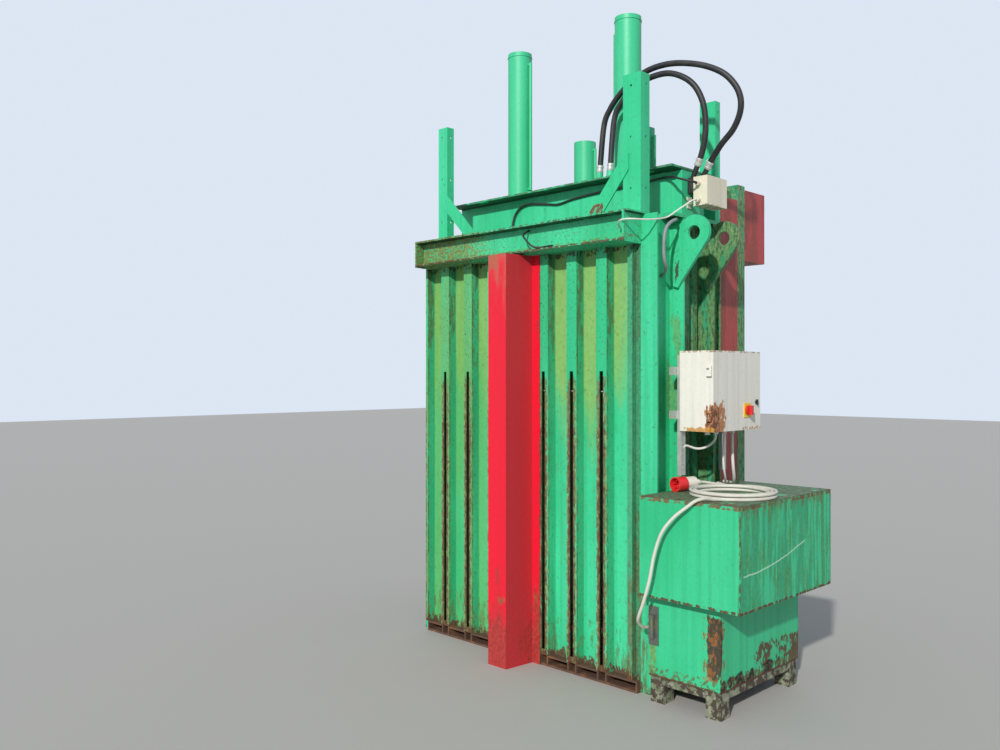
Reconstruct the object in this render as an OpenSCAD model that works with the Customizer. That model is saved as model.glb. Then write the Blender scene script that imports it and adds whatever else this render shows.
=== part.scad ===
// Recycling baler: vertical press with a corrugated chamber, twin ram
// cylinders over the top, a lifting feed gate and a power pack on one end.
// Millimetres, +Z up.  The origin is on the floor at the middle of the
// chamber; +X is the power pack end, -Y the long strap-slot wall and +Y
// the bale door.

/* [Chamber] */
// half length of the chamber, to the outer face of the end guards
half_w = 830; // [790:5:900]
// distance of the corrugation crests from the middle, rear side
rear_y = 440; // [420:5:480]
// height of the chamber walls
wall_top = 2262; // [2200:1:2280]
// sheet thickness of the walls
sheet_t = 6; // [4:1:8]
// distance of the outermost strap slots from the two ends, before their offset
slot_edge = 221; // [200:1:260]
// how far the slots sit off the middle, towards the plain end
slot_off = 30; // [20:1:34]
// width of a corrugation crest
crest_w = 68; // [60:1:72]
// depth of the corrugation
crest_deep = 50; // [44:1:56]
// width of a strap slot
slot_w = 24; // [16:1:30]
// top end of the strap slots
slot_top = 1620; // [1500:5:1700]
// height of the floor frame
base_h = 60; // [50:1:80]

/* [Frame] */
// depth of the rear column channels, front to back
col_deep = 247; // [220:1:260]
// flange width of the main column channels, pack end
col_flange = 98; // [80:1:110]
// flange width of the main column channels, plain end
plain_flange = 56; // [50:1:90]
// width of the inner flange of the front columns
thin_flange = 32; // [26:1:60]
// top of the main columns
col_top = 2410; // [2390:1:2450]
// height of the crosshead channels
head_h = 265; // [240:5:320]
// distance of the crosshead webs from the middle
head_web = 105; // [100:1:115]
// flange width of the crosshead channels
head_flange = 92; // [80:1:100]
// radius of the lifting lug hole
lug_r = 36; // [28:1:44]
// top of the guard uprights
upright_top = 3120; // [2900:5:3300]

/* [Rams] */
// distance of the two ram cylinders from the middle
ram_x = 422; // [380:1:450]
// outside radius of a ram barrel
ram_r = 75; // [70:1:84]
// inside radius of a ram barrel
ram_bore = 61; // [55:1:66]
// radius of a ram rod
rod_r = 40; // [34:1:46]
// top of the ram barrels
ram_top = 3620; // [3400:5:3700]
// clearance of pistons, rods and pins
fit = 0.05; // [0.02:0.01:0.1]

/* [Gate] */
// distance of the gate cylinders from the middle
gate_x = 230; // [200:1:260]
// outside radius of a gate cylinder
gate_r = 71; // [66:1:76]
// inside radius of a gate cylinder
gate_bore = 60; // [54:1:62]
// radius of a gate rod
gate_rod_r = 25; // [20:1:30]
// top of the gate cylinders
gate_top = 3105; // [3040:5:3120]

/* [Door] */
// top of the bale door, where the feed gate starts
door_top = 1490; // [1400:5:1500]
// radius of the bale door hinge pins
pin_r = 12; // [10:1:16]
// outside radius of the hinge knuckles
knuckle_r = 22; // [20:1:26]

/* [Power pack] */
// length of the lower cabinet of the pack
pack_low_w = 400; // [360:1:420]
// length of the upper cabinet of the pack
pack_up_w = 545; // [520:1:560]
// top of the upper cabinet
pack_top = 1015; // [980:1:1040]
// height where the two cabinets meet
pack_mid = 531; // [500:1:560]
// height of the skid under the pack
pack_foot = 130; // [110:1:150]

/* [Cables] */
// radius of the hydraulic hoses
hose_r = 16; // [13:0.5:17]
// radius of the mains lead
lead_r = 8; // [6:0.5:8]

/* [Hidden] */
$fn = 48;
e = 0.01;
slot_pitch = (half_w - slot_edge)/3;
slots = [for (i = [-3:3]) i*slot_pitch - slot_off];
cr = crest_w/2;
run = 15;
trough_y = rear_y - crest_deep;
lean = sheet_t/cos(atan(run/crest_deep));
step = sheet_t*run/crest_deep;
plank_gap = 44;
col_x0 = half_w - 25;
toe_x = col_x0 + col_flange;
plain_toe = col_x0 + plain_flange;
wall_end = half_w - 30;
end_x = half_w - 53;
plain_end = half_w - 10;
beam_end = half_w - 40;
col_y0 = rear_y - 35;
far_y0 = 116;
far_y1 = 300;
side_in = col_x0 - sheet_t;
side_y0 = trough_y - sheet_t;
side_start = col_y0 - sheet_t;
front_in = 392;
post_x0 = half_w - 80;
post_y = 492;
post_d = 78;
front_y = post_y + post_d;
post_top = 2690;
guard_top = 2600;
header_deep = 230;
header_h = 410;
saddle_y = 260;
saddle_in = 150;
plain_saddle_in = 250;
bracket_z0 = 58;
bracket_z1 = 98;
head_z = col_top + 20;
head_top = head_z + head_h;
head_x = half_w + 20;
beam_y0 = rear_y + 113;
beam_web = rear_y + 45;
beam_back = rear_y - 78;
beam_z0 = wall_top + 8;
beam_z1 = col_top + 10;
platen_z1 = head_z - 50;
platen_z0 = platen_z1 - 130;
platen_x = side_in - 24;
platen_y0 = side_y0 - 14;
platen_y1 = front_in - 14;
rod_foot = platen_z1 + 18;
gland = 20;
gate_y = 410;
gate_z0 = platen_z1 - 20;
gate_bot = door_top + 5;
gate_h = wall_top - 10 - gate_bot;
gate_plate_y = 497;
gate_half = post_x0 - 7;
gb_y0 = gate_y - gate_r - 10;
gb_y1 = gate_y + gate_r + 9;
gb_z1 = gate_z0 + 200;
door_z0 = base_h + 10;
door_z1 = door_top;
door_x0 = -post_x0 + 10;
door_x1 = post_x0 - 22;
door_y1 = 560;
hinge_x = -half_w + 35;
hinge_y = front_y + knuckle_r + 8;
hinge_zs = [250, 780, 1310];
lock_x = door_x1 - 68;
lock_z = 800;
lock_r = 15;
lug_z = col_top - 85;
lug_out = 90;
lug_t = 20;
guard_y = rear_y + 195;
pack_x = toe_x;
pack_low_y0 = -rear_y - 35;
pack_low_y1 = 282;
pack_up_y0 = -rear_y - 110;
pack_up_y1 = 347;
lid_h = 12;
strut_x1 = toe_x + 62;
cab_x0 = strut_x1;
cab_x1 = cab_x0 + 172;
cab_door_t = 20;
cab_y0 = -298;
cab_y1 = 155;
cab_z0 = pack_top + 306;
cab_z1 = cab_z0 + 399;
cab_pin_y = cab_y0 - 8;
knob_y = 21;
knob_z = cab_z0 + 100;
key_y = 112;
key_z = cab_z0 + 139;
jb_y0 = -140;
jb_y1 = 48;
jb_z0 = head_z + 38;
jb_z1 = jb_z0 + 150;
valve_z0 = head_z + 130;
coil_at = [1225, -240, 1015];
coil_mean = 190;
// shift of what lies on the pack, and of the two ends of the hoses
pack_shift = [half_w + col_flange - 928, 440 - rear_y, pack_top - 1015];
valve_shift = [half_w - 830, 0, col_top - 2410];
port_shift = [ram_x - 422, 0, head_top - 2695];
function moved(p) = [for (i = [0:len(p)-1]) let (w = i/(len(p)-1)) p[i] + (1-w)*valve_shift + w*port_shift];

green = [0.16, 0.72, 0.48];
crimson = [0.78, 0.10, 0.16];
rusty = [0.30, 0.20, 0.15];
steel = [0.62, 0.63, 0.64];
cream = [0.88, 0.87, 0.80];
black = [0.06, 0.06, 0.07];

// vector helpers for the swept tubes
function unit(a) = a/norm(a);
function curve(a, b, c, d, t) = 0.5*((2*b) + (c - a)*t + (2*a - 5*b + 4*c - d)*t*t
  + (3*b - a - 3*c + d)*t*t*t);
function fine(p, q) = [for (i = [0:len(p)-2]) for (k = [0:q-1])
  curve(p[max(i-1, 0)], p[i], p[i+1], p[min(i+2, len(p)-1)], k/q), p[len(p)-1]];
function start_of(p) = let (f = fine(p, 2)) unit(f[1] - f[0]);
function end_of(p) = let (f = fine(p, 2), m = len(f)) unit(f[m-1] - f[m-2]);
function carried(u, t) = unit(u - (u*t)*t);

// round tube along a route, q steps between route points; the flat ends face d0 and d1
module tube(route, r, up, d0, d1, n = 10, q = 2) {
  p = fine(route, q);
  m = len(p);
  t = concat([d0], [for (i = [1:m-2]) unit(p[i+1] - p[i-1])], [d1]);
  u = [for (i = 0, v = carried(up, t[0]); i < m; i = i + 1,
        v = i < m ? carried(v, t[i]) : v) v];
  pts = [for (i = [0:m-1]) let (w = cross(t[i], u[i])) for (k = [0:n-1])
          p[i] + r*cos(360*k/n)*u[i] + r*sin(360*k/n)*w];
  sides = [for (i = [0:m-2]) for (k = [0:n-1])
            [i*n + k, (i+1)*n + k, (i+1)*n + (k+1)%n, i*n + (k+1)%n]];
  polyhedron(concat(pts), concat([[for (k = [0:n-1]) k]], sides,
    [[for (k = [n-1:-1:0]) (m-1)*n + k]]), convexity = 6);
}

module block(x0, x1, y0, y1, z0, z1) {
  translate([x0, y0, z0]) cube([x1-x0, y1-y0, z1-z0]);
}
// the same block on side s of the middle, s = 1 or -1
module side_block(s, x0, x1, y0, y1, z0, z1) {
  block(s > 0 ? x0 : -x1, s > 0 ? x1 : -x0, y0, y1, z0, z1);
}
// closed sheet box with an empty inside
module shell(x0, x1, y0, y1, z0, z1, t) {
  difference() {
    block(x0, x1, y0, y1, z0, z1);
    block(x0+t, x1-t, y0+t, y1-t, z0+t, z1-t);
  }
}
// round stub from point p along direction d
module stub(p, d, h, r) {
  translate(p) rotate([0, acos(d[2]), atan2(d[1], d[0])]) cylinder(h = h, r = r);
}
module rod(x, y, z0, z1, r) { translate([x, y, z0]) cylinder(h = z1-z0, r = r); }
module rod_x(x0, x1, y, z, r) {
  translate([x0, y, z]) rotate([0, 90, 0]) cylinder(h = x1-x0, r = r);
}
module rod_y(x, y0, y1, z, r) {
  translate([x, y0, z]) rotate([-90, 0, 0]) cylinder(h = y1-y0, r = r);
}
module flip(s) { mirror([s < 0 ? 1 : 0, 0, 0]) children(); }

// floor plate with hollow planks; the strap grooves lie between them
module base_frame() {
  color(rusty) {
    block(-col_x0, col_x0, -rear_y + 4, post_y, 0, 12);
    for (i = [0:5]) plank(slots[i] + plank_gap/2, slots[i+1] - plank_gap/2);
    plank(slots[6] + plank_gap/2, col_x0);
    plank(-col_x0, slots[0] - plank_gap/2);
  }
}
module plank(x0, x1) {
  difference() {
    block(x0, x1, -rear_y + 4, post_y, 12 - e, base_h);
    block(x0 + 10, x1 - 10, -rear_y - 10, post_y + 10, 12, base_h - 10);
  }
}

// corrugated wall drawn as one bent sheet
function crest_out(c) = [[c-cr-run, -trough_y], [c-cr, -rear_y], [c+cr, -rear_y], [c+cr+run, -trough_y]];
function crest_in(c) = let (a = cr + step - lean) [[c-a-run, -trough_y+sheet_t], [c-a, -rear_y+sheet_t],
  [c+a, -rear_y+sheet_t], [c+a+run, -trough_y+sheet_t]];
function wall_out() = let (a = plain_end - 16, b = end_x - 29) concat(
  [[-plain_end, -col_y0], [-plain_end, -rear_y], [-a, -rear_y], [-a+run, -trough_y]],
  [for (c = slots) for (q = crest_out(c)) q],
  [[b-run, -trough_y], [b, -rear_y], [end_x, -rear_y], [end_x, -col_y0], [col_x0, -col_y0]]);
function wall_in() = let (a = plain_end - 16 - step + lean, g = plain_end - sheet_t,
    b = end_x - 29 - step + lean, f = end_x - sheet_t) concat(
  [[-g, -col_y0], [-g, -rear_y+sheet_t], [-a, -rear_y+sheet_t], [-a+run, -trough_y+sheet_t]],
  [for (c = slots) for (q = crest_in(c)) q],
  [[b-run, -trough_y+sheet_t], [b, -rear_y+sheet_t], [f, -rear_y+sheet_t], [f, -col_y0+sheet_t], [col_x0, -col_y0+sheet_t]]);
module rear_wall() {
  a = wall_out();
  b = wall_in();
  color(green) difference() {
    translate([0, 0, base_h]) linear_extrude(height = wall_top - base_h)
      polygon(concat(a, [for (i = [len(b)-1:-1:0]) b[i]]));
    for (c = slots) block(c - slot_w/2, c + slot_w/2, -rear_y - 5, -rear_y + 15, base_h + 32, slot_top);
  }
}

// ribbed end wall between the columns, s is the side of the machine
module side_wall(s, y0) {
  ribs = [-95, -20, 55];
  xo = half_w - 4;
  color(green) flip(s) translate([0, 0, base_h])
    linear_extrude(height = col_top - base_h)
    polygon(concat([[side_in + sheet_t, -y0]],
      [for (c = ribs) for (q = [[side_in + sheet_t, c-30], [xo, c-22], [xo, c+22], [side_in + sheet_t, c+30]]) q],
      [[side_in + sheet_t, post_y], [side_in, post_y]],
      [for (i = [2:-1:0]) let (c = ribs[i]) for (q = [[side_in, c+23.5], [xo-sheet_t, c+15.5], [xo-sheet_t, c-15.5], [side_in, c-23.5]]) q],
      [[side_in, -y0]]));
}
module side_wall_right() { side_wall(1, side_start); }
module side_wall_left() { side_wall(-1, side_y0); }

// main column channel with a welded lifting lug
module column(y0, y1, lug_y, toe, inner_toe) {
  t = 12;
  lug_x = toe + 74;
  difference() {
    block(col_x0, toe, y0, y1, 0, col_top);
    block(col_x0 + t + 1, toe + 5, y0 + t, y1 - t, -5, col_top + 5);
    if (inner_toe < toe) block(inner_toe, toe + 5, y1 - t - 1, y1 + 5, -5, col_top + 5);
  }
  difference() {
    translate([lug_x, lug_y + lug_t, lug_z]) rotate([90, 0, 0]) linear_extrude(height = lug_t) union() {
      circle(r = lug_out, $fn = 72);
      polygon([[-lug_out, 0], [-94, -159], [-127, -265], [-97, -275], [-74, -243], [75, -49], [33, 0]]);
    }
    rod_y(lug_x, lug_y - 5, lug_y + lug_t + 5, lug_z, lug_r);
  }
}
module column_rear(s, toe) {
  color(green) flip(s) column(-col_y0, -col_y0 + col_deep, -col_y0 + col_deep - 12 - lug_t, toe, toe);
}
module column_front(s, toe) { color(green) flip(s) column(far_y0, far_y1, far_y0 - lug_t, toe, col_x0 + thin_flange); }
module column_rear_right() { column_rear(1, toe_x); }
module column_rear_left() { column_rear(-1, plain_toe); }
module column_front_right() { column_front(1, toe_x); }
module column_front_left() { column_front(-1, plain_toe); }

// front corner post with the two gate guide bars
module front_post(s) {
  x = post_x0 - 22;
  color(green) flip(s) {
    difference() {
      block(post_x0, half_w, post_y, front_y, 0, post_top);
      block(post_x0 + 6, half_w - 6, post_y + 6, front_y - 6, -5, post_top - 6);
    }
    block(x, post_x0 + 1, gate_plate_y - 12, gate_plate_y - 4, gate_bot, post_top);
    block(x, post_x0 + 1, gate_plate_y + 32, gate_plate_y + 40, gate_bot, post_top);
  }
}
module front_post_right() { front_post(1); }
module front_post_left() { front_post(-1); }

// toes-out channel over the rear wall, closed at the top
module rear_beam() {
  color(green) {
    block(-beam_end + 10, wall_end, -beam_web - 8, -beam_web, beam_z0, beam_z1);
    block(-beam_end, wall_end + 10, -beam_y0, -beam_web, beam_z0, beam_z0 + 10);
    block(-beam_end, half_w, -beam_y0, -beam_web + e, col_top, beam_z1);
    block(-half_w, half_w, -beam_web, -beam_back, col_top, beam_z1);
    block(-side_in, side_in, -beam_web - 8, -side_y0, wall_top, beam_z0 + e);
    for (x = [-beam_end, wall_end - 2]) block(x, x + 12, -beam_y0, -col_y0, wall_top, beam_z1);
  }
}

// red hat-section guard over the middle of the rear wall
module rear_guard() {
  t = 4;
  a = slots[2] + cr - 6;
  b = slots[4] - slot_w/2 - 9;
  color(crimson) linear_extrude(height = wall_top) polygon([
    [a, -rear_y - t], [b - 231, -rear_y - t], [b - 212, -guard_y], [b - 75, -guard_y], [b - 56, -rear_y - t], [b, -rear_y - t],
    [b, -rear_y], [b - 60, -rear_y], [b - 79, -guard_y + t], [b - 208, -guard_y + t], [b - 227, -rear_y], [a, -rear_y]]);
}
module side_guard(s) {
  color(crimson) flip(s) difference() {
    block(col_x0, half_w, far_y1 + 6, post_y - 2, 0, guard_top);
    block(col_x0 - 5, half_w - 4, far_y1 + 10, post_y - 6, -5, guard_top + 5);
  }
}
module side_guard_right() { side_guard(1); }
module side_guard_left() { side_guard(-1); }

// plates that carry the crosshead over the column tops
module saddle_right() { color(green) block(head_x - saddle_in, toe_x + 2, -saddle_y, far_y1 + 4, col_top, head_z); }
module saddle_left() { color(green) block(-plain_toe - 2, plain_saddle_in - head_x, -saddle_y, far_y1 + 4, col_top, head_z); }

// two toes-out channels side by side with tie plates round the rams
module crosshead() {
  t = 12;
  color(green) {
    difference() {
      union() {
        for (s = [-1, 1]) {
          ya = s < 0 ? -head_web : head_web - 8;
          block(-head_x, head_x, ya, ya + 8, head_z, head_top);
          yb = s < 0 ? -head_web - head_flange : head_web - e;
          for (z = [head_z, head_top - t])
            block(-head_x, head_x, yb, yb + head_flange + e, z, z + t);
        }
        for (s = [-1, 1]) {
          block(s*ram_x - 150, s*ram_x + 150, -head_web, head_web, head_z, head_z + 20);
          block(s*ram_x - 120, s*ram_x + 120, -head_web, head_web, head_top - 20, head_top);
          side_block(s, head_x - 12, head_x, -head_web, head_web, head_z, head_top);
        }
      }
      for (s = [-1, 1]) rod(s*ram_x, 0, head_z - 5, head_top + 5, ram_r + 0.5);
    }
    for (p = [moved(outer_route), moved(inner_route)]) stub(p[len(p)-1], end_of(p), 46, hose_r + 4);
  }
}

// ram barrel with bearing flange, end cap and feed pipe; m is the pipe side
module ram_barrel(x, m) {
  xp = x + m*(ram_r + 16);
  xr = x + m*(ram_r - 5);
  color(green) difference() {
    union() {
      rod(x, 0, head_z - 30, ram_top, ram_r);
      rod(x, 0, head_z - 30, head_z, ram_r + 40);
      translate([x, 0, ram_top - 26]) rotate_extrude() translate([ram_r - 2, 0]) square([5, 5]);
      rod(xp, 0, head_top + 60, ram_top - 70, 10);
      for (z = [ram_top - 79, head_top + 69]) rod_x(min(xr, xp), max(xr, xp), 0, z, 10);
    }
    rod(x, 0, head_z - 30 + gland, ram_top - 25, ram_bore);
    rod(x, 0, head_z - 35, head_z, rod_r + fit);
  }
}
module ram_barrel_right() { ram_barrel(ram_x, -1); }
module ram_barrel_left() { ram_barrel(-ram_x, 1); }
module ram_rod(x) {
  color(steel) {
    rod(x, 0, platen_z1, ram_top - 80, rod_r);
    rod(x, 0, ram_top - 130, ram_top - 80, ram_bore - fit);
    rod(x, 0, platen_z1, rod_foot, rod_r + 45);
  }
}
module ram_rod_right() { ram_rod(ram_x); }
module ram_rod_left() { ram_rod(-ram_x); }

// pressing plate: a ribbed box, grooved below for the straps
module platen() {
  color(green) {
    difference() {
      block(-platen_x, platen_x, -platen_y0, platen_y1, platen_z0, platen_z0 + 45);
      for (c = slots) block(c - slot_w/2, c + slot_w/2, -platen_y0 - 10, platen_y1 + 10, platen_z0 - 5, platen_z0 + 28);
    }
    for (s = [-1, 1]) for (d = [-1, 1])
      block(s*ram_x + d*110 - 8, s*ram_x + d*110 + 8, -platen_y0 + 10, platen_y1 - 10, platen_z0 + 44, platen_z1);
    for (s = [-1, 1]) block(s*ram_x - 118, s*ram_x + 118, -118, 118, platen_z1 - 20, platen_z1);
    block(-platen_x + 10, platen_x - 10, -platen_y0 + 2, -platen_y0 + 14, platen_z0 + 44, platen_z1 - 30);
    block(-platen_x + 10, platen_x - 10, platen_y1 - 16, platen_y1 - 4, platen_z0 + 44, platen_z1 - 30);
  }
}

// cross channel between the front posts, holding the gate cylinders
module gate_beam() {
  x = post_x0 - 28;
  z = gb_z1 - 12;
  color(green) difference() {
    union() {
      block(-x, x, gb_y0, gb_y1, z, gb_z1);
      block(-col_x0 + 10, col_x0 - 10, gb_y0 + 6, 480, z, gb_z1);
      block(-x, x, gb_y0, gb_y0 + 8, gb_z1 - 120, z + 1);
      block(-x, x, gb_y1 - 8, gb_y1, gb_z1 - 120, z + 1);
      for (s = [-1, 1]) side_block(s, post_x0 + 6, col_x0 - 10, gb_y0 + 6, post_y, gb_z1 - 120, gb_z1);
      for (s = [-1, 1]) side_block(s, x - 8, post_x0 + 7, gb_y0 + 6, 480, gb_z1 - 120, gb_z1 - 108);
    }
    for (s = [-1, 1]) rod(s*gate_x, gate_y, gb_z1 - 130, gb_z1 + 10, gate_r + 0.5);
  }
}
module gate_barrel(x) {
  xp = x + gate_r + 14;
  color(green) difference() {
    union() {
      rod(x, gate_y, gate_z0, gate_top, gate_r);
      rod(x, gate_y, gb_z1, gb_z1 + 20, gate_r + 3.5);
      for (d = [-1, 1]) block(x + (d < 0 ? -gate_r - 29 : gate_r - 11), x + (d < 0 ? 11 - gate_r : gate_r + 29),
        gate_y - 35, gate_y + 35, gb_z1, gb_z1 + 20);
      rod(xp, gate_y, gb_z1 + 140, gate_top - 50, 9);
      for (z = [gate_top - 59, gb_z1 + 149]) rod_x(x + gate_r - 5, xp, gate_y, z, 9);
    }
    rod(x, gate_y, gate_z0 + 30, gate_top - 20, gate_bore);
    rod(x, gate_y, gate_z0 - 5, gate_z0 + 35, gate_rod_r + fit);
  }
}
module gate_barrel_right() { gate_barrel(gate_x); }
module gate_barrel_left() { gate_barrel(-gate_x); }
module gate_rod(x) {
  color(steel) {
    rod(x, gate_y, gate_bot + bracket_z1, gate_z0 + 90, gate_rod_r);
    rod(x, gate_y, gate_z0 + 50, gate_z0 + 90, gate_bore - fit);
  }
}
module gate_rod_right() { gate_rod(gate_x); }
module gate_rod_left() { gate_rod(-gate_x); }

// feed gate: stiffened plate with two rod brackets on its inner face
module loading_gate() {
  y = gate_plate_y;
  g = gate_half;
  color(green) {
    block(-g, g, y, y + 8, gate_bot, gate_bot + gate_h);
    for (k = [0:4]) let (z = gate_bot + k*(gate_h - 12)/4) block(-g, g, y + 7, y + 28, z, z + 12);
    for (s = [-1, 1]) {
      block(s*gate_x - 40, s*gate_x + 40, platen_y1 + 8, y + 1, gate_bot + bracket_z0, gate_bot + bracket_z1);
      side_block(s, g - 12, g, y + 7, y + 28, gate_bot, gate_bot + gate_h);
    }
  }
}
module header_box() { color(crimson) shell(-half_w, half_w, front_y, front_y + header_deep, wall_top - 2, wall_top - 2 + header_h, 4); }

// deep bale door: inner plate with box ribs between the strap slots
function ribs() = concat([[door_x0, slots[0] - 40]], [for (i = [0:5]) [slots[i] + 40, slots[i+1] - 40]],
  [[slots[6] + 40, door_x1]]);
module bale_door() {
  color(green) difference() {
    union() {
      difference() {
        block(door_x0, door_x1, front_in, front_in + 8, door_z0, door_z1);
        for (c = slots) block(c - slot_w/2, c + slot_w/2, front_in - 5, front_in + 15, base_h + 32, door_z1 - 20);
      }
      for (q = ribs()) difference() {
        block(q[0], q[1], front_in + 7, door_y1, door_z0, door_z1);
        block(q[0] + 8, q[1] - 8, front_in + 8, door_y1 - 8, door_z0 + 10, door_z1 - 10);
      }
      block(door_x0, door_x1, front_in, door_y1, door_z0, door_z0 + 10);
      block(door_x0, door_x1, front_in, door_y1, door_z1 - 10, door_z1);
      for (z = hinge_zs) {
        block(door_x0 + 12, door_x0 + 58, door_y1 - 1, hinge_y - 4, z - 45, z + 45);
        block(hinge_x, door_x0 + 58, hinge_y - 14, hinge_y, z - 45, z + 45);
        rod(hinge_x, hinge_y, z - 45, z + 45, knuckle_r);
      }
      block(lock_x - 35, lock_x + 35, door_y1 - 1, door_y1 + 36, lock_z - 40, lock_z + 40);
    }
    for (z = hinge_zs) rod(hinge_x, hinge_y, z - 50, z + 50, pin_r + fit);
    rod_y(lock_x, door_y1 + 2, door_y1 + 40, lock_z, lock_r + fit);
  }
}
module door_hinges() {
  color(green) {
    for (z = hinge_zs) {
      rod(hinge_x, hinge_y, z - 85, z + 85, pin_r);
      for (z0 = [z - 85, z + 46]) {
        rod(hinge_x, hinge_y, z0, z0 + 39, knuckle_r);
        block(hinge_x - 22, hinge_x + 22, front_y, hinge_y, z0, z0 + 39);
      }
    }
    block(hinge_x - 30, hinge_x + 30, front_y, front_y + 6, hinge_zs[0] - 85, hinge_zs[2] + 85);
  }
}
// hand wheel with the dog bar; a quarter turn swings the bar behind the keeper
module door_lock() {
  color(black) {
    rod_y(lock_x, door_y1 + 4, 690, lock_z, lock_r);
    block(lock_x - 18, lock_x + 18, door_y1 + 40, door_y1 + 56, lock_z - 20, lock_z + 160);
    rod_y(lock_x, 670, 692, lock_z, 28);
    translate([lock_x, 681, lock_z]) rotate([90, 0, 0])
      rotate_extrude() translate([120, 0]) circle(r = 10, $fn = 24);
    for (a = [0, 120, 240]) translate([lock_x, 681, lock_z]) rotate([0, a, 0])
      translate([0, 0, 20]) cylinder(h = 96, r = 7);
  }
}
module lock_keeper() {
  color(green) {
    block(post_x0 + 10, half_w - 15, front_y, front_y + 62, lock_z - 30, lock_z - 22);
    block(post_x0 + 10, half_w - 15, front_y + 52, front_y + 62, lock_z - 30, lock_z + 30);
  }
}

// angle iron guard uprights with bolt holes
module upright(x, y, dx, dy, a, b, z0) {
  t = 8;
  z1 = col_top + 130;
  d = (upright_top - 60 - z1)/2;
  color(green) difference() {
    union() {
      block(min(x, x + dx*a), max(x, x + dx*a), min(y, y + dy*t), max(y, y + dy*t), z0, upright_top);
      block(min(x, x + dx*t), max(x, x + dx*t), min(y, y + dy*b), max(y, y + dy*b), z0, upright_top);
    }
    for (z = [z1, z1 + d, z1 + 2*d]) {
      rod_y(x + dx*a*0.55, y - 10, y + 10, z, 7);
      rod_x(x - 10, x + 10, y + dy*b*0.6, z, 7);
    }
  }
}
rl_x = -half_w + 211;
module upright_rear_right() { upright(half_w, -rear_y, -1, 1, 110, 75, beam_z1); }
module upright_rear_left() { upright(rl_x, -rear_y, -1, 1, 80, 55, beam_z1); }
module upright_front_right() { upright(half_w, far_y1 - 46, -1, 1, 100, 50, head_z); }
module upright_front_left() { upright(rl_x, far_y1 - 46, -1, 1, 80, 50, head_z); }

// flat diagonal braces from the rear uprights down to the rear beam
module brace(x, p) {
  color(green) translate([x, -rear_y, beam_z1]) rotate([90, 0, 0]) linear_extrude(height = 8) polygon(p);
}
module brace_right() { brace(half_w, [[-70, 300], [-99, 300], [-350, 0], [-250, 0], [-70, 220]]); }
module brace_left() { brace(rl_x, [[-31, 280], [3, 280], [279, 0], [179, 0], [-31, 208]]); }

// power pack
module pack_skid() {
  z = pack_foot;
  x1 = pack_x + pack_low_w - 5;
  ya = pack_low_y0 + 10;
  yb = pack_low_y1 - 90;
  color(rusty) {
    for (y = [ya, yb]) {
      block(pack_x + 5, x1, y, y + 80, z - 40, z);
      for (x = [pack_x + 5, x1 - 80]) block(x, x + 80, y, y + 80, 0, z - 39);
    }
    for (x = [pack_x + 5, x1 - 80]) block(x, x + 80, ya + 79, yb + 1, z - 40, z);
  }
}
module pack_lower() {
  color(green) {
    shell(pack_x, pack_x + pack_low_w, pack_low_y0, pack_low_y1, pack_foot, pack_mid, 4);
    translate(pack_shift) block(879, 904, -452, -428, 342, 366);
  }
}
module pack_upper() {
  z = pack_top - lid_h;
  color(green) difference() {
    block(pack_x, pack_x + pack_up_w, pack_up_y0, pack_up_y1, pack_mid, z);
    block(pack_x + 4, pack_x + pack_up_w - 4, pack_up_y0 + 4, pack_up_y1 - 4, pack_mid + 4, z + 5);
  }
}
module pack_lid() {
  color(green) difference() {
    block(pack_x, pack_x + pack_up_w, pack_up_y0, pack_up_y1, pack_top - lid_h, pack_top);
    block(pack_x + 12, pack_x + pack_up_w - 12, pack_up_y0 + 12, pack_up_y1 - 12, pack_top - lid_h - 5, pack_top - 4);
  }
}
// dark keep plate with a round over-centre catch
module pack_latch() {
  y = pack_low_y0;
  color(black) {
    block(pack_x + 4, pack_x + 60, y - 6, y, 283, 471);
    rod(pack_x + 28, y - 14, 335, 415, 11);
    for (z = [318, 414]) block(pack_x + 14, pack_x + 42, y - 24, y - 5, z, z + 18);
  }
}
// slotted struts bracketed off the columns, carrying the control cabinet
module cabinet_struts() {
  x = strut_x1 - 21;
  z0 = pack_top + 82;
  color(steel) {
    for (y = [-288, 100]) difference() {
      block(x, strut_x1, y, y + 41, z0, cab_z1 - 20);
      block(x - 4, strut_x1 - 3, y + 3, y + 38, z0 - 5, cab_z1);
      for (k = [0:7]) rod_x(strut_x1 - 8, strut_x1 + 5, y + 20.5, z0 + 25 + 25*k, 4.5);
    }
    for (z = [cab_z0 + 59, cab_z0 + 279]) block(toe_x, x + e, -300, 200, z, z + 41);
  }
}
module cabinet() {
  px = cab_x1 + 8;
  color(cream) {
    difference() {
      block(cab_x0, cab_x1, cab_y0, cab_y1, cab_z0, cab_z1);
      block(cab_x0 + 3, cab_x1 + 5, cab_y0 + 3, cab_y1 - 3, cab_z0 + 3, cab_z1 - 3);
    }
    for (z = [cab_z0 + 79, cab_z1 - 100]) {
      for (z0 = [z - 26, z + 14]) {
        rod(px, cab_pin_y, z0, z0 + 12, 7);
        block(cab_x1 - 12, px, cab_pin_y - 7, cab_y0 + 1, z0, z0 + 12);
      }
      rod(px, cab_pin_y, z - 26, z + 26, 4);
    }
    for (y = [-180, -100, -20, 60]) rod(cab_x0 + 85, y, cab_z0 - 22, cab_z0 + 1, 13);
  }
}
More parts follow.
